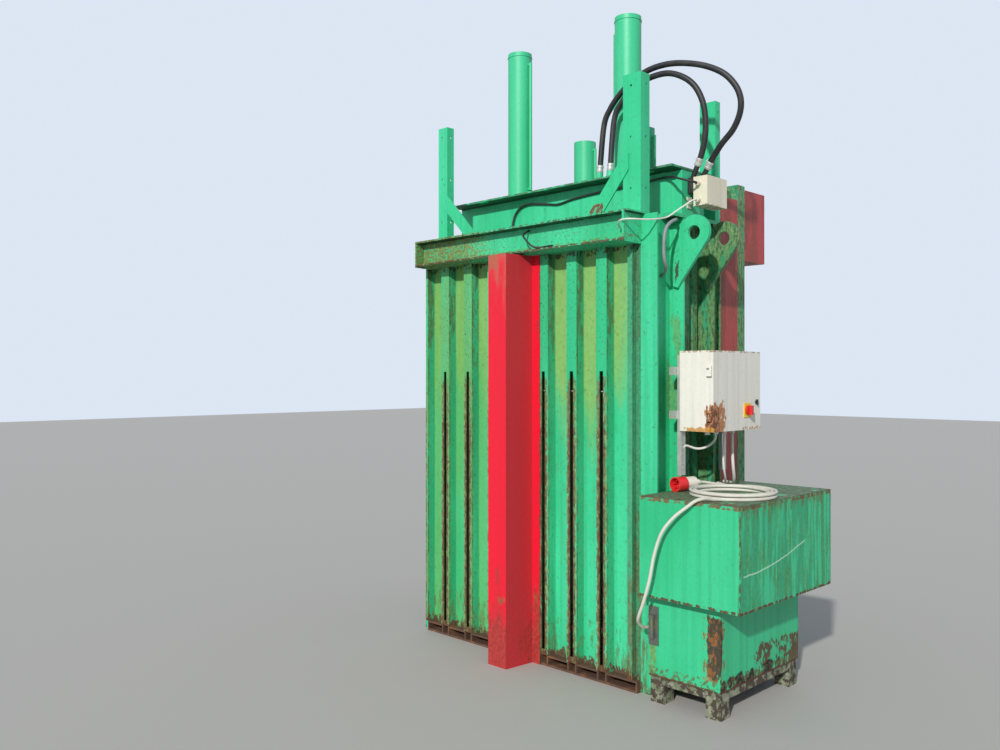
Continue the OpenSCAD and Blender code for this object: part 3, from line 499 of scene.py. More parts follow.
# Bounds and soft rims are in metres, grain in cycles a metre, cover and opacity from 0 to 1.
FINISHES: dict[Finish, Any] = {
    Finish.WALL: WornPaint("wall_paint", MINT, PALE, dirt=0.25, rust=0.0, specks=0.12, stains=(
        # Faded olive in the upper recesses, moss in the left ones, shade on the flanks between.
        Patch((0.26, 0.44, 0.10), (-FREE, -0.396, 1.35), soft=(0.05, 0.002, 0.6), grain=6.0, cover=0.95,
              drips=9.0, opacity=0.8, mottle=0.9, edge=0.14),
        Patch((0.13, 0.38, 0.08), (-FREE, -0.396, BOTTOM), (0.05, FREE, FREE), soft=(0.3, 0.002, 0.1),
              grain=7.0, cover=0.85, drips=10.0, opacity=0.6, mottle=0.9, edge=0.12),
        Patch((0.02, 0.25, 0.10), (-FREE, -0.437, BOTTOM), (FREE, -0.394, FREE), soft=(0.05, 0.001, 0.1),
              grain=5.0, cover=1.0, drips=9.0, opacity=0.55, mottle=0.9, edge=0.12),
        # Spots in the recesses, and a mossy tint on the crests left of the guard.
        Patch((0.10, 0.13, 0.03), (-FREE, -0.396, BOTTOM), soft=(0.05, 0.002, 0.1), grain=55.0, cover=0.04,
              drips=1.5, opacity=0.35),
        Patch((0.15, 0.34, 0.07), (-FREE, -FREE, BOTTOM), (-0.25, -0.43, FREE), soft=(0.2, 0.002, 0.1),
              grain=8.0, cover=0.65, drips=9.0, opacity=0.65, mottle=0.85, edge=0.12),
        # Grime along the crests' edges, grime mixed with painted shade down the flanks above 1.55 m, and soot
        # specks down the flanks.
        Patch((0.075, 0.10, 0.025), (-FREE, -0.437, BOTTOM), (FREE, -0.428, FREE), soft=(0.05, 0.002, 0.1),
              grain=70.0, cover=0.55, drips=5.0, opacity=0.7),
        # Grime with painted shade: a darker brown-olive band down the flanks above 1.55 m.
        Patch((0.085, 0.12, 0.03), (-FREE, -0.437, 1.55), (FREE, -0.396, FREE), soft=(0.05, 0.002, 0.4),
              grain=40.0, cover=0.6, drips=6.0, opacity=0.7),
        Patch(SOOT, (-FREE, -0.437, BOTTOM), (FREE, -0.396, FREE), soft=(0.05, 0.002, 0.1), grain=90.0,
              cover=0.12, drips=1.3, opacity=0.45),
        # The narrow last crest, beside the near column: shade, and grime on its lower half.
        Patch((0.06, 0.20, 0.10), (0.744, -FREE, BOTTOM), soft=(0.003, 0.05, 0.1), grain=5.0, cover=1.0,
              drips=9.0, opacity=0.6),
        Patch((0.14, 0.11, 0.04), (0.744, -FREE, BOTTOM), (FREE, FREE, 1.0), soft=(0.003, 0.05, 0.4),
              grain=30.0, cover=0.6, drips=5.0, opacity=0.6),
        # Algae, brown grime, rust and soot bleeding out of the strap slots.
        SlotStain((0.24, 0.36, 0.15), reach=0.052, top=1.60, grain=70.0, cover=1.0, opacity=0.8),
        SlotStain((0.15, 0.15, 0.05), reach=0.054, top=1.66, grain=110.0, cover=0.78, opacity=0.85),
        SlotStain((0.13, 0.055, 0.03), reach=0.044, top=1.42, grain=80.0, cover=0.68, opacity=0.85),
        SlotStain((0.04, 0.05, 0.02), reach=0.046, top=1.66, grain=150.0, cover=0.12, opacity=0.8),
        # Specks above the slots, rust under the beam, grime and rust at the foot.
        Patch((0.05, 0.06, 0.02), (-FREE, -FREE, 1.66), (FREE, -0.432, FREE), soft=(0.05, 0.002, 0.02),
              grain=100.0, cover=0.12, drips=1.5, opacity=0.8),
        Patch(DARK_RUST, (-FREE, -FREE, 2.225), soft=(0.05, 0.05, 0.02), grain=60.0, cover=0.5, drips=2.0),
        Patch((0.13, 0.15, 0.04), high=(FREE, FREE, 0.42), soft=(0.05, 0.05, 0.3), grain=60.0, cover=0.38,
              drips=5.0, opacity=0.6),
        Patch(RUST, high=(FREE, FREE, 0.115), soft=(0.05, 0.05, 0.05), grain=60.0, cover=0.8, drips=2.0,
              opacity=0.95))),
    Finish.PANEL: WornPaint("panel_paint", DEEP, MINT, dirt=0.4, rust=0.1, specks=0.4, stains=(
        Patch(RUST, high=(FREE, FREE, 0.13), soft=(0.05, 0.05, 0.06), grain=60.0, cover=0.6, drips=2.0),
        Patch(MOSS, (-FREE, -FREE, 1.7), soft=(0.05, 0.05, 0.4), grain=9.0, cover=0.6, drips=7.0,
              opacity=0.6))),
    Finish.NEAR_COLUMN: WornPaint("near_column_paint", MINT, PALE, dirt=0.15, rust=0.0, specks=0.1, stains=(
        Patch((0.05, 0.14, 0.06), grain=50.0, cover=0.0, drips=1.3, opacity=0.5),
        # Moss on the inner flange, rust at the lug's foot, grime beside the pack, rust at the column's foot.
        Patch((0.16, 0.32, 0.09), (-FREE, -0.20, 1.2), (0.90, FREE, 2.05), soft=(0.02, 0.02, 0.3), grain=12.0,
              cover=0.6, drips=5.0, opacity=0.6),
        Patch(DARK_RUST, (0.845, -0.26, 2.07), (0.892, FREE, 2.20), soft=(0.012, 0.02, 0.04), grain=50.0,
              cover=0.7, drips=2.0, opacity=0.9),
        Patch((0.15, 0.13, 0.04), (-FREE, -FREE, BOTTOM), (0.86, -0.40, 1.02), soft=(0.03, 0.004, 0.05),
              grain=40.0, cover=0.55, drips=8.0, opacity=0.7),
        Patch(RUST, high=(FREE, FREE, 0.07), soft=(0.05, 0.05, 0.05), grain=60.0, cover=0.55, drips=3.0))),
    Finish.FAR_COLUMN: WornPaint("far_column_paint", (0.035, 0.28, 0.12), (0.05, 0.38, 0.18), dirt=0.6,
                                 rust=0.05, specks=0.8, stains=(
        Patch((0.17, 0.28, 0.09), grain=22.0, cover=0.62, drips=4.0, opacity=0.7),
        Patch(LICHEN, (-FREE, -FREE, 2.2), soft=(0.05, 0.05, 0.1), grain=80.0, cover=0.35, drips=1.5,
              opacity=0.6),
        Patch(SOOT, grain=70.0, cover=0.32, drips=3.0, opacity=0.65),
        Patch(RUST, high=(FREE, FREE, 0.12), soft=(0.05, 0.05, 0.06), grain=60.0, cover=0.5, drips=3.0))),
    Finish.BEAM: WornPaint("beam_paint", MINT, PALE, dirt=0.2, rust=0.0, specks=0.3, stains=(
        # Dirtiest at the plain end; a mossy foot of the web, specks, a rusty lower lip, a grimy top lip, and
        # shade under the top flange.
        Patch((0.24, 0.30, 0.06), high=(-0.05, FREE, FREE), soft=(0.4, 0.05, 0.05), grain=60.0, cover=0.62,
              opacity=0.8),
        Patch((0.20, 0.12, 0.03), high=(-0.10, FREE, FREE), soft=(0.4, 0.05, 0.05), grain=85.0, cover=0.42,
              opacity=0.75),
        Patch((0.17, 0.26, 0.06), (-FREE, -FREE, 2.28), (FREE, FREE, 2.31), soft=(0.05, 0.05, 0.02), grain=48.0,
              cover=0.6, drips=1.0, opacity=0.75),
        Patch((0.12, 0.14, 0.035), grain=85.0, cover=0.18, opacity=0.7),
        Patch(RUST, high=(FREE, -0.545, 2.285), soft=(0.05, 0.004, 0.004), grain=50.0, cover=0.75, opacity=0.9),
        Patch((0.09, 0.06, 0.02), (-FREE, -FREE, 2.405), (FREE, -0.54, FREE), soft=(0.05, 0.004, 0.003),
              grain=45.0, cover=0.5, drips=1.0, opacity=0.8),
        Patch((0.01, 0.05, 0.02), (-FREE, -0.548, 2.406), (FREE, FREE, 2.412), soft=(0.05, 0.004, 0.002),
              grain=8.0, cover=1.0, drips=1.0, opacity=0.9))),
    Finish.PRESS: WornPaint("press_paint", (0.022, 0.52, 0.235), PALE, dirt=0.1, rust=0.0, specks=0.12, stains=(
        # A rust scar at the foot of the right brace; the crosshead's grimy top, the shade under its top
        # flange, and its grimy bottom edge.
        Patch((0.20, 0.055, 0.03), (0.50, -0.46, 2.42), (0.60, -0.43, 2.50), soft=(0.012, 0.02, 0.015),
              grain=26.0, cover=0.9, drips=1.0, opacity=0.95),
        Patch((0.08, 0.13, 0.04), (-FREE, -0.25, 2.686), (FREE, 0.22, 2.70), soft=(0.05, 0.004, 0.003),
              grain=30.0, cover=0.75, drips=1.0, opacity=0.8),
        Patch((0.01, 0.06, 0.03), (-FREE, -0.25, 2.676), (FREE, 0.22, 2.687), soft=(0.05, 0.004, 0.002),
              grain=8.0, cover=1.0, drips=1.0, opacity=0.9),
        Patch((0.12, 0.15, 0.04), (-FREE, -0.25, 2.42), (FREE, 0.22, 2.445), soft=(0.05, 0.004, 0.01),
              grain=60.0, cover=0.5, drips=1.0, opacity=0.7),
        Patch((0.05, 0.13, 0.06), grain=55.0, cover=0.0, opacity=0.4))),
    Finish.BARREL: WornPaint("barrel_paint", (0.035, 0.50, 0.235), (0.05, 0.56, 0.29), dirt=0.05, rust=0.0,
                             specks=0.05),
    Finish.PACK: WornPaint("pack_paint", (0.020, 0.45, 0.195), (0.04, 0.54, 0.26), dirt=0.12, rust=0.0,
                           specks=0.15, stains=(
        # Runs down the end face, browner at its top, and sparse specks all over.
        Patch((0.02, 0.22, 0.10), (1.43, -FREE, BOTTOM), soft=(0.01, 0.05, 0.1), grain=34.0, cover=0.55,
              drips=14.0, opacity=0.5),
        Patch((0.10, 0.26, 0.05), (1.43, -FREE, BOTTOM), soft=(0.01, 0.05, 0.1), grain=40.0, cover=0.3,
              drips=8.0, opacity=0.55),
        Patch((0.14, 0.12, 0.04), (1.43, -FREE, 0.93), soft=(0.01, 0.05, 0.06), grain=40.0, cover=0.5,
              drips=6.0, opacity=0.65),
        Patch((0.10, 0.15, 0.05), grain=40.0, cover=0.0, drips=1.3, opacity=0.3),
        # Rust on the lower lip, the upright corner and the lid's edge, grime on the lid, rust along its rear.
        Patch(RUST, high=(FREE, FREE, 0.548), soft=(0.05, 0.05, 0.010), grain=48.0, cover=0.68, drips=1.5,
              opacity=0.95),
        Patch(RUST, (1.440, -FREE, BOTTOM), (FREE, -0.544, FREE), soft=(0.004, 0.004, 0.1), grain=60.0,
              cover=0.6, drips=2.0, opacity=0.85),
        Patch((0.19, 0.07, 0.03), (-FREE, -FREE, 0.992), soft=(0.05, 0.05, 0.006), grain=44.0, cover=0.55,
              opacity=0.85),
        Patch((0.10, 0.14, 0.08), (-FREE, -FREE, 1.010), soft=(0.05, 0.05, 0.003), grain=9.0, cover=0.85,
              opacity=0.75),
        Patch((0.16, 0.06, 0.03), (-FREE, -FREE, 1.010), (FREE, -0.47, FREE), soft=(0.05, 0.05, 0.003),
              grain=30.0, cover=0.5, drips=1.0, opacity=0.8),
        Scratch((0.45, 0.72, 0.55), (-0.53, 0.700), (0.07, 0.795)))),
    Finish.PACK_LOW: WornPaint("pack_low_paint", (0.020, 0.46, 0.20), (0.04, 0.54, 0.26), dirt=0.15, rust=0.0,
                               specks=0.2, stains=(
        # A bare, rusted corner with an orange fringe, and the end face, rusted and blackened from below.
        Patch((0.06, 0.035, 0.022), (1.225, -FREE, 0.17), (FREE, -0.455, 0.49), soft=(0.018, 0.012, 0.03),
              grain=22.0, cover=0.95, drips=2.0, opacity=0.97),
        Patch((0.30, 0.12, 0.03), (1.20, -FREE, 0.14), (FREE, -0.43, 0.50), soft=(0.012, 0.012, 0.04),
              grain=60.0, cover=0.35, drips=2.0, opacity=0.85),
        Patch(RUST, (1.30, -0.20, BOTTOM), (FREE, FREE, 0.30), soft=(0.003, 0.10, 0.06), grain=26.0, cover=0.62,
              drips=1.5, opacity=0.95),
        Patch(RUST, (1.30, -FREE, BOTTOM), (FREE, -0.20, 0.20), soft=(0.003, 0.08, 0.05), grain=30.0, cover=0.7,
              drips=1.5, opacity=0.95),
        Patch((0.004, 0.004, 0.004), (1.30, -FREE, BOTTOM), (FREE, 0.10, 0.21), soft=(0.003, 0.06, 0.04),
              grain=13.0, cover=0.6, drips=1.0, opacity=1.0),
        # Moss beside the chamber, grime and rust at the foot.
        Patch((0.20, 0.28, 0.05), high=(0.955, FREE, FREE), soft=(0.02, 0.05, 0.05), grain=30.0, cover=0.6,
              drips=4.0, opacity=0.7),
        Patch((0.13, 0.13, 0.05), high=(FREE, FREE, 0.19), soft=(0.05, 0.05, 0.02), grain=46.0, cover=0.45,
              opacity=0.8),
        Patch(RUST, high=(FREE, FREE, 0.142), soft=(0.05, 0.05, 0.008), grain=44.0, cover=0.85, opacity=0.95))),
    Finish.GUARD: WornPaint("guard_paint", (0.76, 0.003, 0.024), (0.70, 0.004, 0.026), dirt=0.05, rust=0.0,
                            specks=0.04, grime=(0.30, 0.01, 0.02), stains=(
        # Weathered top and foot, painted shade on a strip of the right side, a grimy edge against the wall and
        # one chip.
        Patch((0.50, 0.10, 0.07), (-FREE, -FREE, 2.05), (0.09, FREE, FREE), soft=(0.02, 0.05, 0.34), grain=22.0,
              cover=1.0, drips=5.0, opacity=0.85, mottle=0.9, edge=0.14),
        Patch((0.30, 0.14, 0.07), (-FREE, -FREE, 2.14), (0.09, FREE, FREE), soft=(0.02, 0.05, 0.08), grain=10.0,
              cover=0.5, drips=2.0, opacity=0.55, mottle=0.9),
        Patch((0.36, 0.04, 0.03), high=(FREE, FREE, 0.42), soft=(0.05, 0.05, 0.34), grain=20.0, cover=1.0,
              drips=4.0, opacity=0.85, edge=0.12),
        Patch((0.20, 0.14, 0.04), (-FREE, -FREE, 0.30), (FREE, FREE, 0.42), soft=(0.05, 0.05, 0.08), grain=14.0,
              cover=0.5, opacity=0.6),
        # Painted shade: a darker crimson strip on the right side.
        Patch((0.52, 0.022, 0.032), (0.0772, -FREE, BOTTOM), (0.0965, FREE, FREE), soft=(0.0004, 0.05, 0.1),
              grain=3.0, cover=1.0, drips=4.0, opacity=0.9, mottle=0.95),
        Patch((0.13, 0.09, 0.03), (0.146, -FREE, BOTTOM), soft=(0.002, 0.05, 0.1), grain=60.0, cover=0.55,
              drips=4.0, opacity=0.85),
        Patch((0.10, 0.03, 0.02), (0.11, -0.46, 1.82), (0.15, FREE, 1.92), soft=(0.02, 0.02, 0.03), grain=130.0,
              cover=0.5, drips=1.6, opacity=0.8))),
    Finish.HEADER: WornPaint("header_paint", (0.42, 0.035, 0.035), (0.32, 0.05, 0.035), dirt=0.2, rust=0.0,
                             specks=0.15, grime=(0.16, 0.05, 0.03), stains=(
        Patch((0.22, 0.07, 0.04), grain=14.0, cover=0.5, drips=7.0, opacity=0.6),)),
    Finish.RODS: BareMetal("rod_chrome", (0.62, 0.63, 0.65), (0.2, 0.15, 0.1), rough=0.12, amount=0.1),
    Finish.ZINC: BareMetal("zinc_strut", (0.62, 0.63, 0.60), (0.42, 0.40, 0.32), rough=0.42, amount=0.5,
                           metal=0.6),
    Finish.FLOOR: BareMetal("rusty_floor", (0.11, 0.06, 0.04), (0.20, 0.09, 0.04), rough=0.75, amount=0.7,
                            metal=0.2),
    Finish.SKID: WornPaint("skid_paint", (0.10, 0.15, 0.07), (0.22, 0.24, 0.16), dirt=0.6, rust=0.6, specks=0.6,
                           grime=(0.06, 0.05, 0.03), stains=(
        Patch((0.36, 0.36, 0.28), grain=34.0, cover=0.45, opacity=0.7),
        Patch(DARK_RUST, grain=26.0, cover=0.5, opacity=0.9))),
    Finish.IRON: BareMetal("black_iron", (0.03, 0.032, 0.035), (0.12, 0.07, 0.04), rough=0.5, amount=0.4,
                           metal=0.3),
    Finish.LATCH: BareMetal("latch_steel", (0.20, 0.21, 0.19), (0.12, 0.13, 0.04), rough=0.38, amount=0.6,
                            metal=0.7),
    Finish.RUBBER: Moulded("hose_rubber", (0.012, 0.012, 0.014), (0.07, 0.065, 0.06), rough=0.42),
    Finish.SHEATH: Moulded("lead_sheath", (0.62, 0.61, 0.54), (0.36, 0.33, 0.24), rough=0.5),
    Finish.WHITE: Moulded("signal_sheath", (0.70, 0.70, 0.66), (0.40, 0.38, 0.30), rough=0.45, amount=0.3),
    Finish.GREY: Moulded("conduit_grey", (0.24, 0.26, 0.28), (0.12, 0.13, 0.12), rough=0.45, amount=0.4),
    Finish.PLUG: Moulded("plug_plastic", (0.72, 0.02, 0.025), (0.45, 0.30, 0.22), rough=0.35, amount=0.2,
                         second=(0.74, 0.72, 0.62), origin=(0.945, -0.310, 0.0), along=(0.184, 0.983, 0.0),
                         change=0.0625),
    Finish.YELLOW: Moulded("isolator_yellow", (0.78, 0.55, 0.03), (0.4, 0.3, 0.1), rough=0.35, amount=0.2),
    Finish.KNOB: Moulded("isolator_red", (0.6, 0.02, 0.02), (0.3, 0.1, 0.08), rough=0.35, amount=0.2),
    Finish.CABINET: WornPaint("cabinet_enamel", (0.74, 0.73, 0.66), (0.68, 0.66, 0.57), dirt=0.12, rust=0.12,
                              specks=0.2, grime=(0.45, 0.38, 0.24), stains=(
        # Rust at the lower hinge corner, along the bottom edge and on the top.
        Patch((0.46, 0.17, 0.04), (1.108, -FREE, BOTTOM), (FREE, -0.185, 1.465), soft=(0.016, 0.03, 0.05),
              grain=34.0, cover=1.0, drips=1.6, opacity=0.92, mottle=0.7),
        Patch((0.13, 0.045, 0.022), (1.112, -FREE, BOTTOM), (FREE, -0.23, 1.46), soft=(0.012, 0.02, 0.05),
              grain=60.0, cover=0.6, drips=1.8, opacity=0.85),
        Patch((0.62, 0.30, 0.05), (0.985, -FREE, BOTTOM), (FREE, -0.28, 1.345), soft=(0.02, 0.004, 0.012),
              grain=24.0, cover=0.95, drips=1.0, opacity=0.9),
        Patch((0.50, 0.26, 0.06), (1.14, -0.05, BOTTOM), (FREE, FREE, 1.345), soft=(0.01, 0.05, 0.012),
              grain=60.0, cover=0.5, drips=1.0, opacity=0.8),
        Patch((0.40, 0.22, 0.08), (-FREE, -FREE, 1.708), soft=(0.05, 0.05, 0.006), grain=50.0, cover=0.45,
              opacity=0.7))),
    Finish.BOX: WornPaint("junction_enamel", (0.74, 0.71, 0.58), (0.66, 0.62, 0.47), dirt=0.15, rust=0.05,
                          specks=0.2, grime=(0.40, 0.34, 0.20), stains=(
        Patch((0.35, 0.24, 0.12), high=(FREE, FREE, 2.478), soft=(0.05, 0.05, 0.006), grain=50.0, cover=0.4,
              opacity=0.7),)),
}


def resample(points: Sequence[Sequence[float]], steps: int) -> np.ndarray:
    """Catmull-Rom curve: (2b + (c-a)t + (2a-5b+4c-d)t^2 + (3b-a-3c+d)t^3) / 2 on each four neighbours.

    Args:
        points: points that the curve passes through.
        steps: points of the result for each stretch.

    Returns:
        The curve's points as rows.
    """
    p = np.asarray(points, float)
    q = np.vstack([p[:1], p, p[-1:]])
    t = np.linspace(0, 1, steps, endpoint=False)[None, :, None]
    a, b, c, d = (q[i:len(q) - 3 + i, None, :] for i in range(4))
    cubic = 0.5 * (2 * b + (c - a) * t + (2 * a - 5 * b + 4 * c - d) * t**2 + (3 * b - a - 3 * c + d) * t**3)
    return np.vstack([cubic.reshape(-1, 3), p[-1:]])


def path_length(points: np.ndarray) -> float:
    """Sum of the distances between neighbours."""
    return float(np.linalg.norm(np.diff(points, axis=0), axis=1).sum())


@dataclass
class Workshop:
    """Makes pieces and hands out finishes."""

    made: dict[Finish, bpy.types.Material] = field(default_factory=dict)
    cable_facets: int = 4
    sharp_degrees: float = 35.0
    askew: Triple = (0.31, 0.52, 0.79)

    def finish(self, key: Finish) -> bpy.types.Material:
        """Gives the material of a finish, made once.

        Args:
            key: the finish.

        Returns:
            Its material.
        """
        if key not in self.made:
            self.made[key] = FINISHES[key].make()
        return self.made[key]

    def dress(self, nodes: Sequence[str], key: Finish) -> None:
        """Gives CAD nodes a finish.

        Args:
            nodes: names of the nodes.
            key: the finish.
        """
        for name in nodes:
            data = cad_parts[name].data
            data.materials.clear()
            data.materials.append(self.finish(key))
            LOG.info("%s: %s", name, key.value)

    def place(self, name: str, data: Any, key: Finish, slot: str) -> bpy.types.Object:
        """Puts a new piece on the frame.

        Args:
            name: the piece.
            data: its mesh or curve.
            key: its finish.
            slot: not used.

        Returns:
            The piece's object.
        """
        data.materials.append(self.finish(key))
        piece = bpy.data.objects.new(name, data)
        bpy.context.scene.collection.objects.link(piece)
        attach(piece, "frame")
        return piece

    def cable(self, name: str, points: np.ndarray, radius: float, key: Finish, slot: str) -> bpy.types.Object:
        """Lays a round cable: a circle of the radius carried along one open line of points.

        Args:
            name: the piece.
            points: its middle line.
            radius: its radius in metres.
            key: its finish.
            slot: passed on to place, which does not use it.

        Returns:
            The cable's object.
        """
        curve = bpy.data.curves.new(name, "CURVE")
        curve.dimensions = "3D"
        curve.bevel_depth = radius
        curve.bevel_resolution = self.cable_facets
        curve.use_fill_caps = True
        spline = curve.splines.new("POLY")
        spline.points.add(len(points) - 1)
        spline.points.foreach_set("co", np.hstack([points, np.ones((len(points), 1))]).ravel())
        LOG.info("%s: %.2f m", name, path_length(points))
        return self.place(name, curve, key, slot)

    def turned(self, name: str, base: Sequence[float], axis: Sequence[float],
               profile: Sequence[Sequence[float]], key: Finish, slot: str, sides: int = 28) -> bpy.types.Object:
        """Turns a piece: ring k of the surface is base + h(k) axis + r(k) (cos a u + sin a w), ends closed.

        The directions u and w are square to the axis and to each other, and u starts from an askew direction.

        Args:
            name: the piece.
            base: point where its height is 0.
            axis: direction of its height.
            profile: height h and radius r of each ring.
            key: its finish.
            slot: passed on to place, which does not use it.
            sides: points of a ring.

        Returns:
            The piece's object.
        """
        prof = np.asarray(profile, float)
        ax = np.asarray(axis, float) / np.linalg.norm(axis)
        u = np.cross(ax, self.askew)
        u /= np.linalg.norm(u)
        w = np.cross(ax, u)
        a = np.linspace(0, 2 * np.pi, sides, endpoint=False)
        ring = np.cos(a)[:, None] * u + np.sin(a)[:, None] * w
        verts = (np.asarray(base) + prof[:, None, :1] * ax + prof[:, None, 1:] * ring).reshape(-1, 3)
        k, m = len(prof), sides
        i, j = np.meshgrid(np.arange(k - 1), np.arange(m), indexing="ij")
        n = (j + 1) % m
        quads = np.stack([i * m + j, i * m + n, (i + 1) * m + n, (i + 1) * m + j], -1).reshape(-1, 4)
        mesh = bpy.data.meshes.new(name)
        caps = [list(range(m))[::-1], list(range((k - 1) * m, k * m))]
        mesh.from_pydata(verts.tolist(), [], quads.tolist() + caps)
        mesh.shade_smooth()
        mesh.set_sharp_from_angle(angle=math.radians(self.sharp_degrees))
        LOG.info("%s: turned", name)
        return self.place(name, mesh, key, slot)


@dataclass
class Chamber:
    """Walls, columns, floor frame, guards, header box and the pack's skid."""

    shop: Workshop

    def build(self) -> None:
        """Dresses the chamber."""
        self.shop.dress(["rear_wall"], Finish.WALL)
        self.shop.dress(["side_wall_right", "side_wall_left", "column_front_right", "column_front_left",
                         "front_post_right", "front_post_left"], Finish.FAR_COLUMN)
        self.shop.dress(["column_rear_right", "column_rear_left"], Finish.NEAR_COLUMN)
        self.shop.dress(["rear_guard"], Finish.GUARD)
        self.shop.dress(["header_box", "side_guard_right", "side_guard_left"], Finish.HEADER)
        self.shop.dress(["base_frame"], Finish.FLOOR)
        self.shop.dress(["pack_skid"], Finish.SKID)


@dataclass
class Press:
    """Beams, crosshead, rams, gate, bale door and valve block."""

    shop: Workshop

    def build(self) -> None:
        """Dresses the pressing gear."""
        self.shop.dress(["rear_beam", "saddle_right", "saddle_left", "gate_beam"], Finish.BEAM)
        self.shop.dress(["crosshead", "upright_rear_right", "upright_rear_left", "upright_front_right",
                         "upright_front_left", "brace_right", "brace_left"], Finish.PRESS)
        self.shop.dress(["ram_barrel_right", "ram_barrel_left", "gate_barrel_right", "gate_barrel_left"],
                        Finish.BARREL)
        self.shop.dress(["ram_rod_right", "ram_rod_left", "gate_rod_right", "gate_rod_left"], Finish.RODS)
        self.shop.dress(["platen", "loading_gate", "bale_door", "door_hinges", "lock_keeper"], Finish.PANEL)
        self.shop.dress(["door_lock", "valve_block"], Finish.IRON)


@dataclass
class PowerPack:
    """The power pack, the control cabinet, the junction box and the plug."""

    shop: Workshop

    def build(self) -> None:
        """Dresses the pack and the electric boxes."""
        self.shop.dress(["pack_upper", "pack_lid"], Finish.PACK)
        self.shop.dress(["pack_lower"], Finish.PACK_LOW)
        self.shop.dress(["pack_latch"], Finish.LATCH)
        self.shop.dress(["cabinet_lock"], Finish.IRON)
        self.shop.dress(["cabinet_struts"], Finish.ZINC)
        self.shop.dress(["cabinet", "cabinet_door"], Finish.CABINET)
        self.shop.dress(["junction_box", "junction_lid"], Finish.BOX)
        self.shop.dress(["isolator_plate"], Finish.YELLOW)
        self.shop.dress(["isolator_knob"], Finish.KNOB)
        self.shop.dress(["mains_plug"], Finish.PLUG)


@dataclass
class Hoses:
    """The two hydraulic hoses and their crimped ends; routes in millimetres, the rest in metres."""

    shop: Workshop
    radius: float = 0.016
    steps: int = 8
    crimp: tuple[tuple[float, float], ...] = (
        (0, 0.0175), (0.004, 0.0195), (0.012, 0.0195), (0.014, 0.018), (0.026, 0.018), (0.028, 0.0195),
        (0.038, 0.0195), (0.042, 0.0165))
    outer: tuple[Triple, ...] = (
        (916, 30, 2690), (945, 26, 2730), (1015, 10, 2800), (1088, 0, 2860), (1133, -10, 2930),
        (1145, -20, 3000), (1125, -35, 3070), (1070, -55, 3140), (980, -75, 3195), (870, -96, 3232),
        (760, -110, 3250), (650, -125, 3240), (550, -135, 3200), (470, -140, 3145), (405, -140, 3080),
        (360, -140, 2990), (331, -140, 2735))
    inner: tuple[Triple, ...] = (
        (896, -30, 2700), (925, -34, 2760), (950, -42, 2840), (960, -54, 2930), (952, -68, 3020),
        (915, -84, 3105), (850, -100, 3165), (760, -113, 3201), (650, -125, 3196), (560, -134, 3160),
        (485, -140, 3100), (432, -140, 3010), (404, -140, 2735))

    def build(self) -> None:
        """Lays both hoses and crimps their ends."""
        for name, route in (("hose_outer", self.outer), ("hose_inner", self.inner)):
            line = resample(np.asarray(route, float) / MILLI, self.steps)
            piece = self.shop.cable(name + "_rubber", line, self.radius, Finish.RUBBER, "black_rubber")
            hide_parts(name)
            for end, other, tag in ((line[0], line[2], "near"), (line[-1], line[-3], "far")):
                self.shop.turned(f"{name}_crimp_{tag}", end, other - end, self.crimp, Finish.ZINC, "bare_steel")


@dataclass
class MainsLead:
    """One lead: its way over the lid's edge, the coil, and the tail to the plug; both ways in millimetres."""

    shop: Workshop
    radius: float = 0.008
    steps: int = 6
    centre: tuple[float, float] = (1.225, -0.240)
    outside: float = 0.209
    pitch: float = 0.019
    bed: float = 1.0236
    rise: float = 0.018
    turns: float = 4.4167
    inward_turns: float = 2.0
    climb_turns: float = 0.45
    start_degrees: float = -65.0
    samples: int = 320
    to_coil: tuple[Triple, ...] = (
        (892, -452.2, 354), (893, -470, 358), (893, -512, 370), (901, -556, 402), (927, -590, 441),
        (968, -606, 523), (1006, -612, 633), (1032, -612, 752), (1069, -606, 859), (1127, -596, 936),
        (1196, -580, 995), (1228, -566, 1022), (1252, -534, 1032), (1266, -490, 1026), (1288, -452, 1024))
    to_plug: tuple[Triple, ...] = (
        (1200, -31, 1041), (1150, -30, 1037), (1100, -34, 1035), (1055, -42, 1036), (1015, -62, 1041),
        (993, -92, 1047), (981, -120, 1051), (975.6, -146.6, 1052))

    def coil(self) -> np.ndarray:
        """Winds a spiral of radius r(t) at angle a(t) = start + 2 pi t, with t in turns.

        Returns:
            Points that run inwards, climb onto the first turns at a constant radius, then run outwards.
        """
        turns = np.linspace(0, self.turns, self.samples)
        climbed = self.inward_turns + self.climb_turns
        inward = self.outside - self.pitch * np.clip(turns, 0, self.inward_turns)
        radius = inward + self.pitch * np.clip(turns - climbed, 0, None)
        height = self.bed + self.rise * np.clip((turns - self.inward_turns) / self.climb_turns, 0, 1)
        angle = np.radians(self.start_degrees) + turns * 2 * np.pi
        across, deep = self.centre[0] + radius * np.cos(angle), self.centre[1] + radius * np.sin(angle)
        return np.stack([across, deep, height], -1)

    def build(self) -> None:
        """Lays the lead in one length."""
        coil = self.coil()
        lead = np.vstack([np.array(self.to_coil) / MILLI, coil[:1]])
        tail = np.vstack([coil[-1:], np.array(self.to_plug) / MILLI])
        line = np.vstack([resample(lead, self.steps)[:-1], coil, resample(tail, self.steps)[1:]])
        piece = self.shop.cable("mains_lead_sheath", line, self.radius, Finish.SHEATH, "cream_plastic")
        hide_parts("mains_lead", "mains_tail", "mains_coil")


@dataclass(frozen=True)
class Run:
    """One fixed run of wire or conduit, its route in millimetres."""

    name: str
    radius: float
    finish: Finish
    slot: str
    stiffness: str
    lay: str
    route: tuple[Triple, ...]


